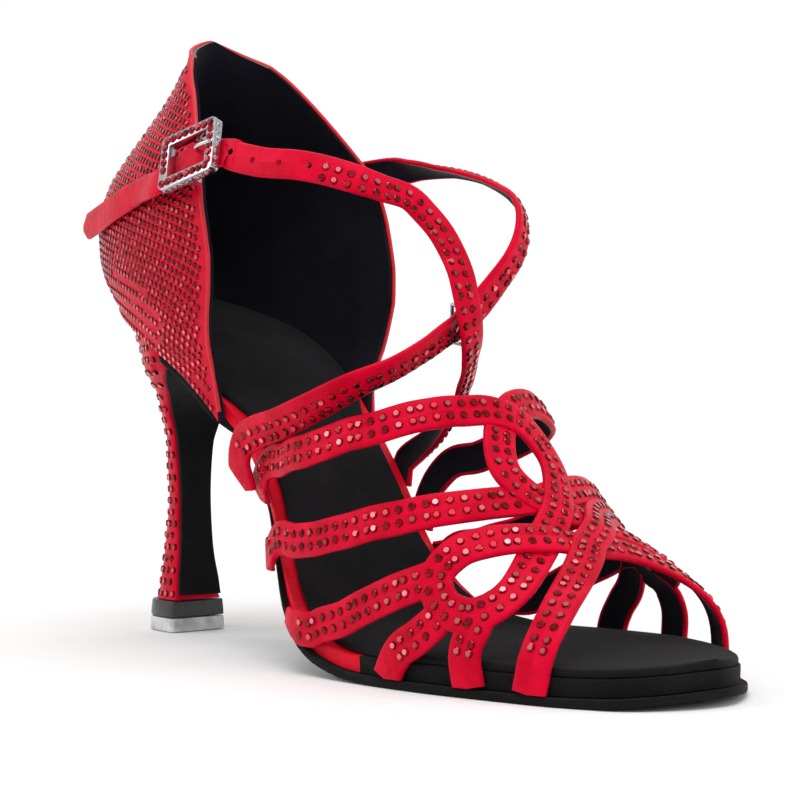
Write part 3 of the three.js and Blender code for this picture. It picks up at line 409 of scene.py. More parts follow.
# The outsole: one piece of thin black suede with the nap outward, cut a little wider than
# the board at the forefoot. It narrows at the waist and turns down over the heel's breast.
tip_thick = 3.8
collar_thick = 4.6
heel_flat = 0.94
breast_thick = 1.2
heel = table(
    "level back breast half full",
    [
        (0, 0.082, 0.163, 0.228, 2.3),
        (0.045, 0.083, 0.162, 0.224, 2.3),
        (0.093, 0.085, 0.161, 0.217, 2.3),
        (0.098, 0.095, 0.16, 0.19, 2.3),
        (0.16, 0.1, 0.157, 0.173, 2.3),
        (0.22, 0.102, 0.154, 0.151, 2.2),
        (0.28, 0.105, 0.152, 0.139, 2.2),
        (0.4, 0.108, 0.15, 0.13, 1.8),
        (0.5, 0.106, 0.149, 0.14, 1.8),
        (0.58, 0.103, 0.149, 0.16, 1.5),
        (0.62, 0.101, 0.151, 0.185, 1.5),
        (0.665, 0.099, 0.154, 0.225, 1.5),
        (0.725, 0.097, 0.175, 0.335, 1.35),
        (0.77, 0.091, 0.205, 0.49, 1.3),
        (0.81, 0.08, 0.237, 0.61, 1.3),
        (0.9, 0.056, 0.25, 0.635, 1.35),
        (1.0, 0.035, 0.255, 0.65, 1.5),
    ],
)


def heel_section(z):
    level = z / heel_rise
    back = smooth(heel, "level", "back", level) * foot_length
    breast = smooth(heel, "level", "breast", level) * foot_length
    half = smooth(heel, "level", "half", level) * half_ball
    return back, breast, half, smooth(heel, "level", "full", level)


def breast_point(z, off):
    slope = heel_section(z + 0.2)[1] - heel_section(z - 0.2)[1]
    across = Vector((0.4, -slope)).normalized()
    return heel_section(z)[1] + across.x * off, z + across.y * off


def heel_top_at(x_at):
    top = 0.85 * heel_rise
    for _ in range(16):
        top = outsole_top_at(max(x_at(top), heel_set_in))
    return top


heel_foot = tip_thick + seam + collar_thick + seam


def outsole_ring(outer, inner, roll, place):
    """Ring of the outsole from its upper face, depth 0, to its suede face, depth 1."""
    points = [(-outer, roll), (-outer + roll, 0), ((inner - outer) / 2, 0)]
    points += [(inner - roll, 0), (inner, roll), (inner, 1 - roll), (inner - roll, 1)]
    points += [((inner - outer) / 2, 1), (-outer + roll, 1), (-outer, 1 - roll)]
    return [Vector((place(depth)[0], y, place(depth)[1])) for y, depth in points]


top_front = heel_top_at(lambda z: heel_section(z)[1])
outsole_start = breast_point(top_front, seam)[0] + 1
outsole_rings = []
for i in range(sole_stations, -1, -1):
    x = layer_station(i, outsole_start, foot_length)
    margin = outsole_margin * smooth(last, "along", "edge", x / foot_length)
    sides = [layer_half(x, s, outsole_top_at, margin, 0, foot_length) for s in (-1, 1)]
    outer, inner = (max(half, 0.8) for half in sides)
    outsole_rings.append(outsole_ring(
        outer, inner, 0.2, lambda depth: (x, outsole_top_at(x) - depth * outsole_thick)))
for i in range(1, 60):
    z = top_front + (heel_foot - top_front) * i / 60
    flat = heel_section(z)[2] * heel_flat
    outsole_rings.append(outsole_ring(
        flat, flat, 0.12, lambda depth: breast_point(z, seam + depth * breast_thick)))
outsole = loft("suede_outsole", outsole_rings, [sole_suede])
settle(outsole, "suede_sole", "outsole")

# The heel block: a flared moulded heel in the same red satin, pulled round the back and
# trimmed at the breast. Rows of small foil-backed stones are glued on it, staggered.
heel_turns = 36


def heel_outline(z, turn):
    back, breast, half, full = heel_section(z)
    widest = back + (breast - back) * 0.85
    x = widest - (widest - back) * max(math.cos(turn), 0) ** (2 / full)
    return Vector((x, half * math.copysign(abs(math.sin(turn)) ** (2 / full), turn), z))


def heel_ring(height_at):
    ring = []
    for i in range(heel_turns + 1):
        turn = (i / heel_turns * 2 - 1) * math.pi / 2
        ring.append(heel_outline(height_at(lambda z: heel_outline(z, turn).x), turn))
    for cheek in (0.99, heel_flat, 0.4, -0.4, -heel_flat, -0.99):
        z = height_at(lambda level: heel_section(level)[1])
        back, breast, half, full = heel_section(z)
        set_back = (breast - back) * 0.03 if abs(cheek) > heel_flat else 0
        ring.append(Vector((breast - set_back, half * cheek, z)))
    return ring


heel_block = loft(
    "satin_covered_heel",
    [heel_ring(lambda x_at: heel_foot + (heel_top_at(x_at) - heel_foot) * i / 60)
     for i in range(61)],
    [red_satin],
)
settle(heel_block, "red_satin", "heel_block")

# Foil-backed lead glass: a flat table ringed by cut facets. The glints are painted: each
# face's colour is a painted reflection, at random from nearly black to bright.
def stone_material(name, dark, middle, bright):
    material, tree, shader = new_material(name, Roughness=0.14, Metallic=0.9)
    shader.inputs["Coat Weight"].default_value = 0.3
    shader.inputs["Coat Roughness"].default_value = 0.03
    # The per-face attribute holds a painted reflection tone; the ramp turns it into base colour,
    # from painted dark reflection to painted glint.
    painted_facet_glint = add_node(tree, "ShaderNodeAttribute", {"attribute_name": "painted_facet_glint"})
    ramp = add_node(tree, "ShaderNodeValToRGB", Fac=painted_facet_glint.outputs["Fac"])
    ramp.color_ramp.elements[0].color = srgb(dark)
    ramp.color_ramp.elements[1].color = srgb(bright)
    ramp.color_ramp.elements.new(0.5).color = srgb(middle)
    tree.links.new(ramp.outputs["Color"], shader.inputs["Base Color"])
    return material


red_stone = stone_material("red_foiled_glass", "3a0008", "b0001c", "ff7a84")
clear_stone = stone_material("clear_foiled_glass", "6a6a72", "c8c8d0", "ffffff")

bpy.ops.object.select_all(action="DESELECT")
bpy.ops.mesh.primitive_cone_add(vertices=8, radius1=1, radius2=0.74, depth=0.6,
                                location=(0, 0, 0.3))
cut_stone = bpy.context.active_object
bpy.ops.object.mode_set(mode="EDIT")
bpy.ops.mesh.select_all(action="DESELECT")
bpy.ops.object.mode_set(mode="OBJECT")
for face in cut_stone.data.polygons:
    face.select = face.normal.z > 0.9
bpy.ops.object.mode_set(mode="EDIT")
bpy.ops.mesh.inset(thickness=0.2, depth=0.16)
bpy.ops.object.mode_set(mode="OBJECT")
stone_points = [v.co.copy() for v in cut_stone.data.vertices]
stone_faces = [tuple(f.vertices) for f in cut_stone.data.polygons]
stone_lifts = [f.normal.z for f in cut_stone.data.polygons]
bpy.data.objects.remove(cut_stone)


def set_stones(name, places, finish):
    """One mesh of cut stones. A place is a point, the way out, a way along and a radius."""
    dice = random.Random(name)
    points, faces, tones = [], [], []
    for at, out, along, radius in places:
        out = out.normalized()
        side = out.cross(along).normalized()
        turn = dice.uniform(0, math.pi / 4)
        first = side * math.cos(turn) + side.cross(out) * math.sin(turn)
        second = out.cross(first)
        start = len(points)
        for p in stone_points:
            local = first * p.x * radius + second * p.y * radius + out * (p.z * radius - 0.08)
            points.append((at + local) * mm + last_origin)
        faces += [tuple(start + i for i in face) for face in stone_faces]
        # Each face gets a random painted reflection tone; faces that lean away from straight up
        # get only the darker half, as painted shade.
        for lift in stone_lifts:
            low, high = (0, 0.5) if lift < 0.8 else (0.15, 1)
            tones.append(dice.uniform(low, high))
    mesh = bpy.data.meshes.new(name)
    mesh.from_pydata(points, [], faces)
    mesh.materials.append(finish)
    mesh.attributes.new("painted_facet_glint", "FLOAT", "FACE").data.foreach_set("value", tones)
    piece = bpy.data.objects.new(name, mesh)
    bpy.context.scene.collection.objects.link(piece)
    return piece


def line_length(points):
    return sum((b - a).length for a, b in zip(points, points[1:]))


def spaced(line, pitch, offset):
    """Places every pitch along a line of points: where, and the way along."""
    runs = [0]
    for a, b in zip(line, line[1:]):
        runs.append(runs[-1] + (b - a).length)
    found, at, i = [], offset, 0
    while at < runs[-1]:
        while i < len(line) - 2 and runs[i + 1] < at:
            i += 1
        t = (at - runs[i]) / max(runs[i + 1] - runs[i], 1e-6)
        found.append((line[i].lerp(line[i + 1], t), (line[i + 1] - line[i]).normalized()))
        at += pitch
    return found


stone_radius = 1.3
stone_pitch = 3.1
heel_row_rise = 3.3
heel_places = []
row, z = 0, heel_foot + 1.6
while z < 92:
    back, breast, half, full = heel_section(z)
    line = [Vector((breast - 0.5, -half * 0.99, z))]
    line += [heel_outline(z, (i / 40 * 2 - 1) * math.pi / 2) for i in range(41)]
    line.append(Vector((breast - 0.5, half * 0.99, z)))
    for at, along in spaced(line, stone_pitch, 1.2 + stone_pitch / 2 * (row % 2)):
        above = heel_section(z + 0.5)
        centre = Vector(((back + breast) / 2, 0, z))
        grown = Vector(((above[0] + above[1]) / 2, 0, z + 0.5))
        share = above[2] / half
        flare = (grown + (at - centre) * share - at).normalized()
        out = along.cross(flare)
        if out.dot(at - centre) < 0:
            out = -out
        if at.z < outsole_top_at(max(at.x, heel_set_in)) - 1.5:
            heel_places.append((at, out, along, stone_radius))
    z += heel_row_rise
    row += 1
heel_stones = set_stones("heel_stones", heel_places, red_stone)
settle(heel_stones, "red_stones")

# The collar and the tip: a black moulded ring under the covered heel, and the pale grey
# polyurethane top piece nailed up into it, cloudy, with scuffed darker ends.
def node_copy(node, name, finish, bevel):
    """A merged copy of a CAD node with its edges broken, ready to replace it."""
    piece = bpy.data.objects.new(name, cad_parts[node].data.copy())
    bpy.context.scene.collection.objects.link(piece)
    piece.data.materials.clear()
    piece.data.materials.append(finish)
    pick(piece)
    bpy.ops.object.mode_set(mode="EDIT")
    bpy.ops.mesh.select_all(action="SELECT")
    bpy.ops.mesh.remove_doubles(threshold=0.00001)
    bpy.ops.mesh.dissolve_limited(angle_limit=math.radians(2))
    bpy.ops.object.mode_set(mode="OBJECT")
    edge = piece.modifiers.new("broken edge", "BEVEL")
    edge.width = bevel * mm
    edge.segments = 3
    edge.limit_method = "ANGLE"
    edge.angle_limit = math.radians(50)
    bpy.ops.object.modifier_apply(modifier=edge.name)
    bpy.ops.object.shade_smooth_by_angle(angle=math.radians(35))
    return piece


def mottled_material(name, scale, detail, tones, spread=(0, 1), **values):
    """A material whose colour drifts between two tones in blotches of one scale."""
    material, tree, shader = new_material(name, **values)
    where = add_node(tree, "ShaderNodeTexCoord")
    blotch = add_node(tree, "ShaderNodeTexNoise", {"Scale": scale, "Detail": detail},
                      Vector=where.outputs["Object"])
    ramp = add_node(tree, "ShaderNodeValToRGB", Fac=blotch.outputs["Fac"])
    for stop, place, tone in zip(ramp.color_ramp.elements, spread, tones):
        stop.position = place
        stop.color = srgb(tone)
    tree.links.new(ramp.outputs["Color"], shader.inputs["Base Color"])
    return material


collar_plastic = mottled_material("moulded_abs_collar", 700, 3, ("1c1c1e", "3c3c3e"),
                                  Roughness=0.35)
collar = node_copy("heel_collar", "heel_collar_ring", collar_plastic, 0.4)
settle(collar, "black_collar", "heel_collar")

tip_plastic = mottled_material("cloudy_polyurethane_tip", 220, 4, ("a6a7a9", "e6e6e7"),
                               (0.3, 0.7), Roughness=0.4, Subsurface_Weight=0.2,
                               Subsurface_Radius=(0.002, 0.002, 0.002))
settle(node_copy("heel_tip", "heel_top_piece", tip_plastic, 0.35), "grey_tip", "heel_tip")

# The counter: a stiffened cup of red satin outside and black microsuede inside, closed
# up to the ankle. A thin red piping edges it, then a plain band, then dense stones.
counter_columns = 96
counter_rows = 40


def counter_point(side, share, inward):
    turn = side * math.pi / 2

    def place(z):
        back, front, reach, half, full = cup_section(z, inward)
        x = front - reach * max(math.cos(turn), 0) ** (2 / full)
        return x, half * math.copysign(abs(math.sin(turn)) ** (2 / full), side)

    low = seat_level
    for _ in range(12):
        low = outsole_top_at(max(place(low)[0], heel_set_in)) + seam
    high = seat_level + counter_height - counter_top_drop * side**2
    z = low + (high - low) * share
    return Vector((*place(z), z))


raw_edge = mottled_material("raw_beige_cloth_edge", 1200, 2, ("5c4a44", "9a8880"),
                            Roughness=0.8)

counter_rings = []
wall = [(j / counter_rows, 0) for j in range(counter_rows + 1)]
wall += [(j / counter_rows, counter_wall) for j in range(counter_rows, -1, -1)]
for i in range(counter_columns + 1):
    side = 2 * i / counter_columns - 1
    counter_rings.append([counter_point(side, share, inward) for share, inward in wall])
counter_slots = [0] * counter_rows + [2] + [1] * counter_rows + [1]
counter = loft("stiffened_counter", counter_rings, [red_satin, lining_suede, raw_edge],
               counter_slots, 1)
settle(counter, "red_satin", "counter")


def tube(name, line, radius, finish):
    """A round cord through points of the last, as one mesh."""
    curve = bpy.data.curves.new(name, "CURVE")
    curve.dimensions = "3D"
    curve.bevel_depth = radius * mm
    curve.bevel_resolution = 2
    curve.use_fill_caps = True
    spline = curve.splines.new("POLY")
    spline.points.add(len(line) - 1)
    for point, at in zip(spline.points, line):
        point.co = (*(at * mm + last_origin), 1)
    drawn = bpy.data.objects.new(name, curve)
    bpy.context.scene.collection.objects.link(drawn)
    pick(drawn)
    bpy.ops.object.convert(target="MESH")
    piece = bpy.context.active_object
    piece.data.materials.append(finish)
    bpy.ops.object.shade_smooth()
    return piece


piping_line = [counter_point(-1, j / 40, 0.5) for j in range(1, 40)]
piping_line += [counter_point(2 * i / 120 - 1, 1, 0.5) for i in range(121)]
piping_line += [counter_point(1, j / 40, 0.5) for j in range(39, 0, -1)]
piping_satin = mottled_material("red_satin_piping", 500, 2, ("b80018", "e8102c"),
                                Roughness=0.4)
piping = tube("counter_piping", piping_line, 0.6, piping_satin)
settle(piping, "red_satin")

plain_band = 3.4
counter_pitch = 2.4
least_apart = 2.0
row_count = 38
counter_places = []
for row in range(row_count):
    share = (row + 0.5) / row_count
    line = [counter_point(2 * i / 300 - 1, share, 0) for i in range(301)]
    length = line_length(line)
    stagger = plain_band + counter_pitch / 2 * (row % 2)
    for k, (at, along) in enumerate(spaced(line, counter_pitch, stagger)):
        if stagger + k * counter_pitch > length - plain_band:
            continue
        back, front, reach, half, full = cup_section(at.z, 0)
        over = cup_section(at.z + 0.5, 0)
        grown = Vector((over[0] + over[2] / 2, 0, at.z + 0.5))
        centre = Vector((back + reach / 2, 0, at.z))
        rise = Vector(((at.x - centre.x) * over[2] / reach, at.y * over[3] / half, 0))
        up = (grown + rise - at).normalized()
        out = along.cross(up)
        if out.dot(at - centre) < 0:
            out = -out
        if share < 1 - plain_band / 62:
            counter_places.append((at, out, along, 1.1))
kept = []
grid = {}
for place in counter_places:
    cell = tuple(int(c // 2.2) for c in place[0])
    near = [grid.get((cell[0] + a, cell[1] + b, cell[2] + c), ())
            for a in (-1, 0, 1) for b in (-1, 0, 1) for c in (-1, 0, 1)]
    if all((place[0] - other).length > least_apart for group in near for other in group):
        grid.setdefault(cell, []).append(place[0])
        kept.append(place)
counter_stones = set_stones("counter_stones", kept, red_stone)
settle(counter_stones, "red_stones")

# The front straps: folded satin tape on a black microsuede back, woven over and under
# each other in two loops and stitched where they cross. Two rows of stones run along
# the middle, and the folded margins stay plain.
strap_width = 8.5
strap_thick = 1.6
foot_depth = sock_thick + seam + board_thick
routes = {
    "outer_twist": [
        (0.435, -1.1, 0.2), (0.442, -1.0, 1.1), (0.465, -0.92, 0.6), (0.5, -0.85, 0.2),
        (0.55, -0.75, 0), (0.6, -0.645, 0), (0.645, -0.53, 0), (0.675, -0.385, 0),
        (0.695, -0.22, 0), (0.71, -0.06, 1), (0.722, 0.08, 1), (0.74, 0.135, 0.6),
        (0.76, 0.1, 0.8), (0.79, -0.04, 1), (0.812, -0.26, 0.2), (0.825, -0.52, 0),
        (0.815, -0.69, 0), (0.795, -0.78, 0), (0.77, -0.79, 0), (0.752, -0.73, 0),
        (0.76, -0.58, 0), (0.78, -0.43, 0.3), (0.81, -0.21, 1.5), (0.818, -0.02, 0.3),
        (0.822, 0.15, 0), (0.845, 0.46, 0), (0.858, 0.75, 0), (0.863, 1.0, 0), (0.865, 1.1, 0),
    ],
    "inner_twist": [
        (0.463, 1.1, 0), (0.468, 0.99, 0), (0.505, 0.86, 0), (0.55, 0.765, 0),
        (0.6, 0.65, 0), (0.64, 0.53, 0), (0.668, 0.4, 0), (0.688, 0.22, 0),
        (0.704, 0.05, 0), (0.72, -0.09, 0), (0.745, -0.155, 0.4), (0.77, -0.09, 0.5),
        (0.785, 0.08, 0), (0.795, 0.27, 0), (0.806, 0.45, 0), (0.8, 0.58, 0),
        (0.78, 0.68, 0), (0.755, 0.705, 0), (0.739, 0.62, 0), (0.745, 0.48, 0),
        (0.765, 0.34, 0.3), (0.79, 0.19, 1), (0.815, 0.06, 1.9), (0.84, -0.08, 1.2),
        (0.86, -0.28, 0.3), (0.877, -0.58, 0), (0.88, -0.8, 0), (0.877, -1.0, 0),
        (0.872, -1.1, 0),
    ],
    "cross_band": [
        (0.478, -1.1, 0.8), (0.49, -1.02, 1.9), (0.51, -0.955, 1.2), (0.55, -0.895, 0.2),
        (0.6, -0.83, 0), (0.65, -0.755, 0), (0.695, -0.65, 0), (0.73, -0.51, 0),
        (0.755, -0.33, 0), (0.77, -0.08, 0), (0.765, 0.1, 0), (0.745, 0.32, 0),
        (0.72, 0.5, 0), (0.69, 0.62, 0), (0.65, 0.73, 0), (0.6, 0.83, 0),
        (0.55, 0.915, 0), (0.51, 0.99, 0), (0.486, 1.1, 0),
    ],
    "outer_bar_back": [
        (0.538, -1.1, 0.6), (0.565, -1.035, 0.7), (0.595, -0.99, 0.3), (0.64, -0.945, 0),
        (0.69, -0.87, 0), (0.73, -0.78, 0), (0.75, -0.71, 0),
    ],
    "inner_bar_back": [
        (0.548, 1.1, 0), (0.57, 0.995, 0), (0.6, 0.965, 0), (0.64, 0.895, 0),
        (0.68, 0.81, 0), (0.71, 0.735, 0), (0.738, 0.67, 0),
    ],
    "outer_bar_middle": [
        (0.7, -1.1, 0), (0.715, -1.0, 0), (0.74, -0.94, 0), (0.76, -0.865, 0), (0.768, -0.8, 0),
    ],
    "outer_bar_front": [
        (0.805, -1.1, 0), (0.8, -1.0, 0), (0.801, -0.92, 0), (0.806, -0.82, 0),
        (0.808, -0.74, 0),
    ],
    "inner_bar_middle": [
        (0.686, 1.1, 0), (0.69, 0.98, 0), (0.7, 0.915, 0), (0.718, 0.835, 0),
        (0.735, 0.72, 0),
    ],
    "inner_bar_front": [
        (0.773, 1.1, 0), (0.775, 0.97, 0), (0.78, 0.83, 0), (0.777, 0.735, 0),
        (0.765, 0.7, 0),
    ],
}


def last_point(x, around, off):
    side = math.copysign(1, around)
    share = min(abs(around), 1)
    crown = smooth(last, "along", "crown", x / foot_length) * instep_height
    half = feather_half(x, side) + off
    turn = share * math.pi / 2
    full = 2 if side < 0 else smooth(last, "along", "full", x / foot_length)
    out = half * math.sin(turn) ** (2 / full)
    up = (crown + off) * max(math.cos(turn), 0) ** (2 / full)
    below = max(abs(around) - 1, 0) / 0.1 * foot_depth
    return Vector((x, side * out, bed_at(x) + up - below))


def last_normal(x, around, off):
    along = last_point(x + 0.5, around, off) - last_point(x - 0.5, around, off)
    across = last_point(x, around + 0.01, off) - last_point(x, around - 0.01, off)
    return along.cross(across).normalized()


def through(knots, t):
    """Point at t from 0 to 1 on the centripetal curve through the knots."""
    place = t * (len(knots) - 1)
    i = min(int(place), len(knots) - 2)
    w = place - i
    p1, p2 = knots[i], knots[i + 1]
    p0 = knots[i - 1] if i > 0 else p1 * 2 - p2
    p3 = knots[i + 2] if i + 2 < len(knots) else p2 * 2 - p1
    d0, d1, d2 = (max((b - a).length, 1e-4) ** 0.5 for a, b in ((p0, p1), (p1, p2), (p2, p3)))
    t1 = ((p1 - p0) / d0 - (p2 - p0) / (d0 + d1) + (p2 - p1) / d1) * d1
    t2 = ((p2 - p1) / d1 - (p3 - p1) / (d1 + d2) + (p3 - p2) / d2) * d1
    return (p1 * (2 * w**3 - 3 * w**2 + 1) + t1 * (w**3 - 2 * w**2 + w)
            + p2 * (3 * w**2 - 2 * w**3) + t2 * (w**3 - w**2))


def even_line(points, normals, step):
    """The same line with even steps: a list of point, way along and way out."""
    runs = [0]
    for a, b in zip(points, points[1:]):
        runs.append(runs[-1] + (b - a).length)
    count = max(int(runs[-1] / step), 4)
    line, i = [], 0
    for k in range(count + 1):
        at = runs[-1] * k / count
        while i < len(points) - 2 and runs[i + 1] < at:
            i += 1
        t = (at - runs[i]) / max(runs[i + 1] - runs[i], 1e-6)
        line.append((points[i].lerp(points[i + 1], t), normals[i].lerp(normals[i + 1], t)))
    frames = []
    for k, (point, out) in enumerate(line):
        along = (line[min(k + 1, count)][0] - line[max(k - 1, 0)][0]).normalized()
        out = (out - along * out.dot(along)).normalized()
        frames.append((point, along, out))
    return frames


# Half of the tape's section, from the middle of its face round the fold to its back:
# share of the half width, and share of the thickness.
tape = [(0, 0.56), (0.45, 0.54), (0.78, 0.5), (0.9, 0.44), (0.97, 0.28), (1, 0.0),
        (0.97, -0.3), (0.9, -0.44), (0.8, -0.48), (0.76, -0.42), (0, -0.42)]


def folded_strap(name, frames, width, thick, point_length=0):
    half_section = tape + [(-a, b) for a, b in reversed(tape[1:-1])]
    slots = []
    for j, (a, b) in enumerate(half_section):
        c, d = half_section[(j + 1) % len(half_section)]
        slots.append(1 if max(b, d) <= -0.42 + 1e-6 and max(abs(a), abs(c)) <= 0.8 else 0)
    rings, run = [], 0
    for k, (point, along, out) in enumerate(frames):
        if k:
            run += (point - frames[k - 1][0]).length
        across = along.cross(out).normalized()
        taper = min(0.35 + 0.65 * run / point_length, 1) if point_length else 1
        half = width / 2 * taper
        rings.append([point + across * a * half + out * b * thick for a, b in half_section])
    return loft(name, rings, [red_satin, lining_suede], slots)


def strap_rows(frames, rows, pitch, start, end):
    """Places of stones along a strap. A row is its distance from the middle line."""
    points = [point for point, along, out in frames]
    total = line_length(points)
    places = []
    for across_at in rows:
        run, wanted = 0, start
        for k in range(1, len(frames)):
            run += (points[k] - points[k - 1]).length
            if run < wanted or run > total - end:
                continue
            wanted += pitch
            point, along, out = frames[k]
            across = along.cross(out).normalized()
            places.append((point + across * across_at + out * strap_thick * 0.52, out, along,
                           stone_radius))
    return places


def block(name, top_at, margin, inset):
    """Solid under a height of the sole, used to trim the feet of the straps."""
    end = foot_length - outsole_margin + margin
    start = heel_set_in
    for _ in range(12):
        start = cup_section(top_at(start), inset)[0]
    rings = []
    for i in range(61):
        x = start + (end - start) * i / 60
        outer = max(layer_half(x, -1, top_at, margin, inset, end), 0.8)
        inner = max(layer_half(x, 1, top_at, margin, inset, end), 0.8)
        z, low = top_at(x), outsole_top_at(x) - outsole_thick - 12
        rings.append([Vector((x, -outer, z)), Vector((x, inner, z)), Vector((x, inner, low)),
                      Vector((x, -outer, low))])
    return loft(name, rings, [red_satin])


feet_trims = [block("under_board", lambda x: outsole_top_at(x) + seam, 14, -14),
              block("beside_board", bed_at, seam * 0.9, in_cup)]


def trim_feet(piece):
    for cutter in feet_trims:
        trim = piece.modifiers.new("trim", "BOOLEAN")
        trim.operation = "DIFFERENCE"
        trim.object = cutter
        bpy.context.view_layer.objects.active = piece
        bpy.ops.object.modifier_apply(modifier=trim.name)


vamp_places = []
for name, rows in routes.items():
    knots = [Vector((a * foot_length, r * instep_height, lift)) for a, r, lift in rows]
    points, normals = [], []
    for i in range(40 * (len(knots) - 1) // 4 + 1):
        x, around, lift = through(knots, i / (40 * (len(knots) - 1) // 4))
        off = seam + strap_thick / 2 + max(lift, 0) * strap_thick
        points.append(last_point(x, around / instep_height, off))
        normals.append(last_normal(x, around / instep_height, off))
    frames = even_line(points, normals, 1.1)
    piece = folded_strap("strap_" + name, frames, strap_width, strap_thick)
    trim_feet(piece)
    settle(piece, "red_satin", "vamp_straps")
    vamp_places += strap_rows(frames, (-1.6, 1.6), stone_pitch, 7, 7 if "bar" not in name else 2)
vamp_stones = set_stones("vamp_stones", vamp_places, red_stone)
settle(vamp_stones, "red_stones")

# The two long straps: the same tape, free of the foot. The instep strap climbs from the
# outer waist over the instep and back to the inner wing of the counter. The ankle strap
# climbs from the inner waist and goes round the ankle to the buckle, with punched holes.
# Rows of along, across, up, and the face's heading and lean in degrees.
instep_route = [
    (0.425, -0.71, -0.09, -90, 0), (0.424, -0.755, 0, -90, 0), (0.434, -0.77, 0.1, -88, -5),
    (0.458, -0.785, 0.235, -75, -15), (0.505, -0.795, 0.45, -65, -27),
    (0.555, -0.78, 0.635, -55, -37), (0.605, -0.68, 0.765, -40, -47),
    (0.627, -0.49, 0.83, -30, -50), (0.636, -0.28, 0.895, -20, -46),
    (0.636, -0.13, 0.94, -14, -36), (0.628, 0.03, 0.975, -8, -24),
    (0.624, 0.14, 1.005, -3, -20), (0.624, 0.235, 1.045, 2, -18),
    (0.632, 0.335, 1.12, 10, -15), (0.642, 0.42, 1.2, 16, -12), (0.642, 0.48, 1.26, 22, -6),
    (0.636, 0.525, 1.315, 32, 5), (0.618, 0.59, 1.37, 48, 30), (0.575, 0.67, 1.4, 68, 62),
    (0.52, 0.735, 1.335, 85, 76), (0.46, 0.785, 1.155, 92, 76), (0.4, 0.81, 0.945, 95, 55),
    (0.355, 0.8, 0.81, 95, 15), (0.28, 0.765, 0.64, 95, 0),
]
ankle_front = [
    (0.41, -0.775, 0.96, -85, 10), (0.46, -0.745, 1.12, -78, 12),
    (0.51, -0.68, 1.29, -68, 16), (0.54, -0.6, 1.355, -58, 20),
    (0.57, -0.475, 1.38, -48, 24), (0.58, -0.33, 1.37, -38, 28),
    (0.59, -0.18, 1.355, -30, 32), (0.6, -0.1, 1.315, -24, 34),
    (0.615, -0.05, 1.265, -18, 34), (0.63, -0.025, 1.2, -12, 30),
    (0.645, -0.035, 1.135, -8, 26), (0.652, -0.035, 1.07, -5, 20),
    (0.654, -0.01, 1.0, -4, 12), (0.648, 0.04, 0.94, -2, 4), (0.632, 0.12, 0.88, 2, -4),
    (0.597, 0.27, 0.795, 10, -14), (0.57, 0.37, 0.705, 22, -22),
    (0.535, 0.465, 0.56, 45, -25), (0.5, 0.525, 0.4, 70, -20),
    (0.465, 0.555, 0.215, 85, -10), (0.442, 0.57, 0.08, 90, 0), (0.43, 0.58, 0.01, 90, 0),
    (0.425, 0.58, -0.085, 90, 0),
]
ankle_tail = [
    (0.04, -0.5, 0.2, -118, 0), (0.097, -0.6, 0.267, -110, 0),
    (0.168, -0.72, 0.358, -101, 6), (0.238, -0.785, 0.48, -94, 12),
]


def free_knot(row):
    along, across, up, facing, lean = row
    x = along * foot_length
    z = bed_at(max(x, heel_set_in)) + up * instep_height
    level = math.cos(math.radians(lean))
    out = Vector((level * math.cos(math.radians(facing)), level * math.sin(math.radians(facing)),
                  math.sin(math.radians(lean))))
    return Vector((x, across * half_ball, z)), out


def free_frames(knots, step):
    places = [point for point, out in knots]
    count = 30 * (len(knots) - 1)
    points, normals = [], []
    for i in range(count + 1):
        at = i / count * (len(knots) - 1)
        k = min(int(at), len(knots) - 2)
        points.append(through(places, i / count))
        normals.append(knots[k][1].lerp(knots[k + 1][1], at - k).normalized())
    return even_line(points, normals, step)


long_strap_rows = (-0.6, 2.4)
strap_step = 1.1
instep_frames = free_frames([free_knot(row) for row in instep_route], strap_step)
instep = folded_strap("instep_strap_tape", instep_frames, strap_width, strap_thick)
trim_feet(instep)
settle(instep, "red_satin", "instep_strap")
instep_stones = set_stones(
    "instep_strap_stones", strap_rows(instep_frames, long_strap_rows, stone_pitch, 12, 12),
    red_stone)
settle(instep_stones, "red_stones")

buckle_seat = {"along": 0.352, "level": 0.394, "heading": 9, "climb": 13.6, "lean": 20}
pin_radius = 0.7
strap_low = strap_thick / 2 + seam + 0.9
strap_high = strap_low + pin_radius * 2 + seam
reach = 10


def buckle_frame():
    z = seat_level + buckle_seat["level"] * counter_height
    half = cup_section(z, 0)[3]
    origin = Vector((buckle_seat["along"] * foot_length, -half, z))
    heading, climb, lean = (math.radians(buckle_seat[k]) for k in ("heading", "climb", "lean"))
    u = Vector((math.cos(heading) * math.cos(climb), math.sin(heading) * math.cos(climb),
                math.sin(climb)))
    d = Vector((math.sin(heading) * math.cos(lean), -math.cos(heading) * math.cos(lean),
                math.sin(lean)))
    d = (d - u * d.dot(u)).normalized()
    return origin, u, d.cross(u).normalized(), d


buckle_at, buckle_u, buckle_v, buckle_d = buckle_frame()


def on_buckle(u, v, d):
    return buckle_at + buckle_u * u + buckle_v * v + buckle_d * d


woven = [
    (-reach - 4, -2.2, strap_low + 0.6), (-reach * 0.8, -0.8, strap_low),
    (-reach * 0.4, -0.3, (strap_low + strap_high) / 2), (0, -0.2, strap_high),
    (reach * 0.4, -0.3, strap_high - seam), (reach * 0.8, -0.9, strap_low),
    (reach + 4, -3.4, strap_low + 0.4),
]
ankle_knots = [free_knot(row) for row in ankle_tail]
ankle_knots += [(on_buckle(*place), buckle_d) for place in woven]
ankle_knots += [free_knot(row) for row in ankle_front]
ankle_frames = free_frames(ankle_knots, strap_step)
ankle = folded_strap("ankle_strap_tape", ankle_frames, 7.8, strap_thick, 3.2)

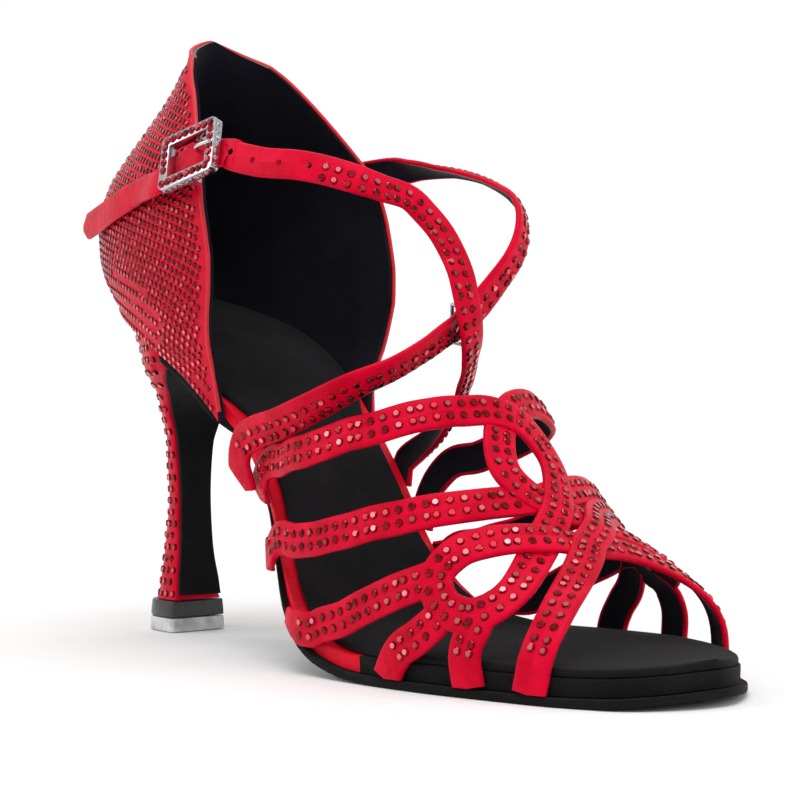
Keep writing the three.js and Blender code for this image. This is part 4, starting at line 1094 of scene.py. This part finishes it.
hole_pitch = 8.8
nearest = min(range(len(ankle_frames)),
              key=lambda k: (ankle_frames[k][0] - on_buckle(reach, 0, strap_low)).length)
hole_frames = []
for i in range(4):
    wanted = (i + 0.5) * hole_pitch
    k, run = nearest, 0
    while run < wanted:
        run += (ankle_frames[k + 1][0] - ankle_frames[k][0]).length
        k += 1
    hole_frames.append(ankle_frames[k])
for point, along, out in hole_frames:
    bpy.ops.object.select_all(action="DESELECT")
    bpy.ops.mesh.primitive_cylinder_add(vertices=20, radius=0.85 * mm, depth=8 * mm)
    drill = bpy.context.active_object
    drill.data.transform(Matrix.Translation(point * mm + last_origin)
                         @ out.to_track_quat("Z", "Y").to_matrix().to_4x4())
    punch = ankle.modifiers.new("punch", "BOOLEAN")
    punch.operation = "DIFFERENCE"
    punch.solver = "FAST"
    punch.object = drill
    bpy.context.view_layer.objects.active = ankle
    bpy.ops.object.modifier_apply(modifier=punch.name)
    bpy.data.objects.remove(drill)
trim_feet(ankle)
for cutter in feet_trims:
    bpy.data.objects.remove(cutter)
settle(ankle, "red_satin", "ankle_strap")
start_of_stones = nearest * strap_step + 4.1 * hole_pitch
ankle_stones = set_stones(
    "ankle_strap_stones",
    strap_rows(ankle_frames, long_strap_rows, stone_pitch, start_of_stones, 14), red_stone)
settle(ankle_stones, "red_stones")

# The buckle: a cast zinc frame, nickel plated, with red stones in its face and clear ones
# along its rim. The plated prong is bent over the front bar, and a plated wire keeper
# sits on the instep strap close to where the two long straps cross.
plated = mottled_material("nickel_plated_zinc", 900, 3, ("b4b4b8", "dcdcdf"),
                          Roughness=0.18, Metallic=1.0)

frame_piece = node_copy("buckle_frame", "cast_buckle_frame", plated, 0.3)
settle(frame_piece, "silver_metal", "buckle_frame")
frame_top = strap_low + strap_thick / 2 + seam * 2 + 2.6
bar = 1.5
buckle_half = 7.8
corner = [(-reach + bar, -buckle_half + bar), (reach - bar, -buckle_half + bar),
          (reach - bar, buckle_half - bar), (-reach + bar, buckle_half - bar),
          (-reach + bar, -buckle_half + bar)]
face_line = [on_buckle(u, v, frame_top) for u, v in corner]
face_places = [(at, buckle_d, along, 1.35) for at, along in spaced(face_line, 2.3, 0)][:-1]
buckle_red = set_stones("buckle_face_stones", face_places, red_stone)
settle(buckle_red, "red_stones")
rim_places = []
for (u0, v0), (u1, v1), (du, dv) in (
    ((-reach + 1, -buckle_half), (reach - 1, -buckle_half), (0, -1)),
    ((reach, -buckle_half + 1), (reach, buckle_half - 1), (1, 0)),
    ((reach - 1, buckle_half), (-reach + 1, buckle_half), (0, 1)),
    ((-reach, buckle_half - 1), (-reach, -buckle_half + 1), (-1, 0)),
):
    line = [on_buckle(u0, v0, frame_top - 1.3), on_buckle(u1, v1, frame_top - 1.3)]
    away = buckle_u * du + buckle_v * dv
    rim_places += [(at, away, along, 0.85) for at, along in spaced(line, 1.95, 0.6)]
buckle_clear = set_stones("buckle_rim_stones", rim_places, clear_stone)
settle(buckle_clear, "clear_stones")

prong_hole = reach * 0.38
pin_at = strap_high - strap_thick / 2 - seam - pin_radius
prong_top = frame_top + 1.0
prong_knots = [
    (1.6, -0.3, pin_at - 0.1), (prong_hole - 1.1, -0.3, pin_at - 0.1),
    (prong_hole - 0.1, -0.3, pin_at + 0.6), (prong_hole, -0.3, strap_high - 0.4),
    (prong_hole + 0.2, -0.3, prong_top - 0.8), (prong_hole + 1.2, -0.3, prong_top),
    (reach - 0.4, -0.3, prong_top),
]
prong_line = [on_buckle(*knot) for knot in prong_knots]
prong = tube("bent_prong", [through(prong_line, i / 48) for i in range(49)], 0.6, plated)
settle(prong, "silver_metal", "buckle_prong")
settle(node_copy("strap_keeper", "wire_keeper", plated, 0.2), "silver_metal", "strap_keeper")

# The room: a pale paper sweep that curves up behind the shoe, and one large soft light
# overhead with a weaker one from the side of the camera.
bpy.ops.object.select_all(action="DESELECT")
bpy.ops.mesh.primitive_plane_add(size=5, location=(0, 0, 0))
sweep = bpy.context.active_object
sweep.name = "paper_sweep"
sweep.data.transform(Matrix.Translation((0, 0, -0.0002))
                     @ Matrix.Rotation(math.radians(48.35), 4, "Z"))
away = Vector((-0.747, 0.665, 0))


def select_far_edge():
    for edge in sweep.data.edges:
        ends = [sweep.data.vertices[v].co for v in edge.vertices]
        edge.select = all(end.dot(away) > 2.4 and end.z < 0.01 for end in ends)
    bpy.ops.object.mode_set(mode="EDIT")


bpy.ops.object.mode_set(mode="EDIT")
bpy.ops.mesh.select_mode(type="EDGE")
bpy.ops.mesh.select_all(action="DESELECT")
bpy.ops.object.mode_set(mode="OBJECT")
select_far_edge()
bpy.ops.mesh.extrude_region_move(TRANSFORM_OT_translate={"value": (0, 0, 3)})
bpy.ops.mesh.select_all(action="DESELECT")
bpy.ops.object.mode_set(mode="OBJECT")
select_far_edge()
bpy.ops.mesh.bevel(offset=1.4, segments=24)
bpy.ops.object.mode_set(mode="OBJECT")
bpy.ops.object.shade_smooth()
paper = mottled_material("matt_white_paper", 300, 2, ("f4f4f4", "fafafa"), Roughness=0.9)
sweep.data.materials.append(paper)

world = bpy.context.scene.world or bpy.data.worlds.new("room")
bpy.context.scene.world = world
world.use_nodes = True
world.node_tree.nodes["Background"].inputs[0].default_value = (1, 1, 1, 1)
world.node_tree.nodes["Background"].inputs[1].default_value = 0.6


def soft_light(name, at, size, power):
    data = bpy.data.lights.new(name, "AREA")
    data.size = size
    data.energy = power
    lamp = bpy.data.objects.new(name, data)
    bpy.context.scene.collection.objects.link(lamp)
    lamp.location = at
    lamp.rotation_euler = (Vector((0, 0, 0.07)) - Vector(at)).to_track_quat("-Z", "Y").to_euler()


soft_light("overhead_softbox", (0.3, -0.4, 1.3), 0.9, 9)
soft_light("side_softbox", (-0.7, -1.0, 0.6), 0.6, 2.5)
soft_light("toe_softbox", (1.1, 0.3, 0.5), 0.5, 2.5)
soft_light("backdrop_softbox", (-0.5, 0.5, 1.6), 0.8, 14)
bpy.data.objects["backdrop_softbox"].rotation_euler = (math.radians(58), 0, math.radians(48))

# The camera: a long lens at the height of the waist, in front of the shoe on its outer
# side. It looks level along the photo's own line of sight.
right = Vector((0.664558, 0.747229, 0.003322))
ahead = Vector((-0.747236, 0.664546, 0.00417))
above = right.cross(ahead).normalized()
camera_data = bpy.data.cameras.new("camera")
camera_data.sensor_width = 36
camera_data.lens = 89.92
camera = bpy.data.objects.new("camera", camera_data)
bpy.context.scene.collection.objects.link(camera)
spin = Matrix((right, above, -ahead)).transposed().to_4x4()
stand = Vector((501.821, -336.88, 63.655)) * mm + last_origin
camera.matrix_world = Matrix.Translation(stand) @ spin
bpy.context.scene.camera = camera
bpy.context.scene.view_settings.view_transform = "Standard"
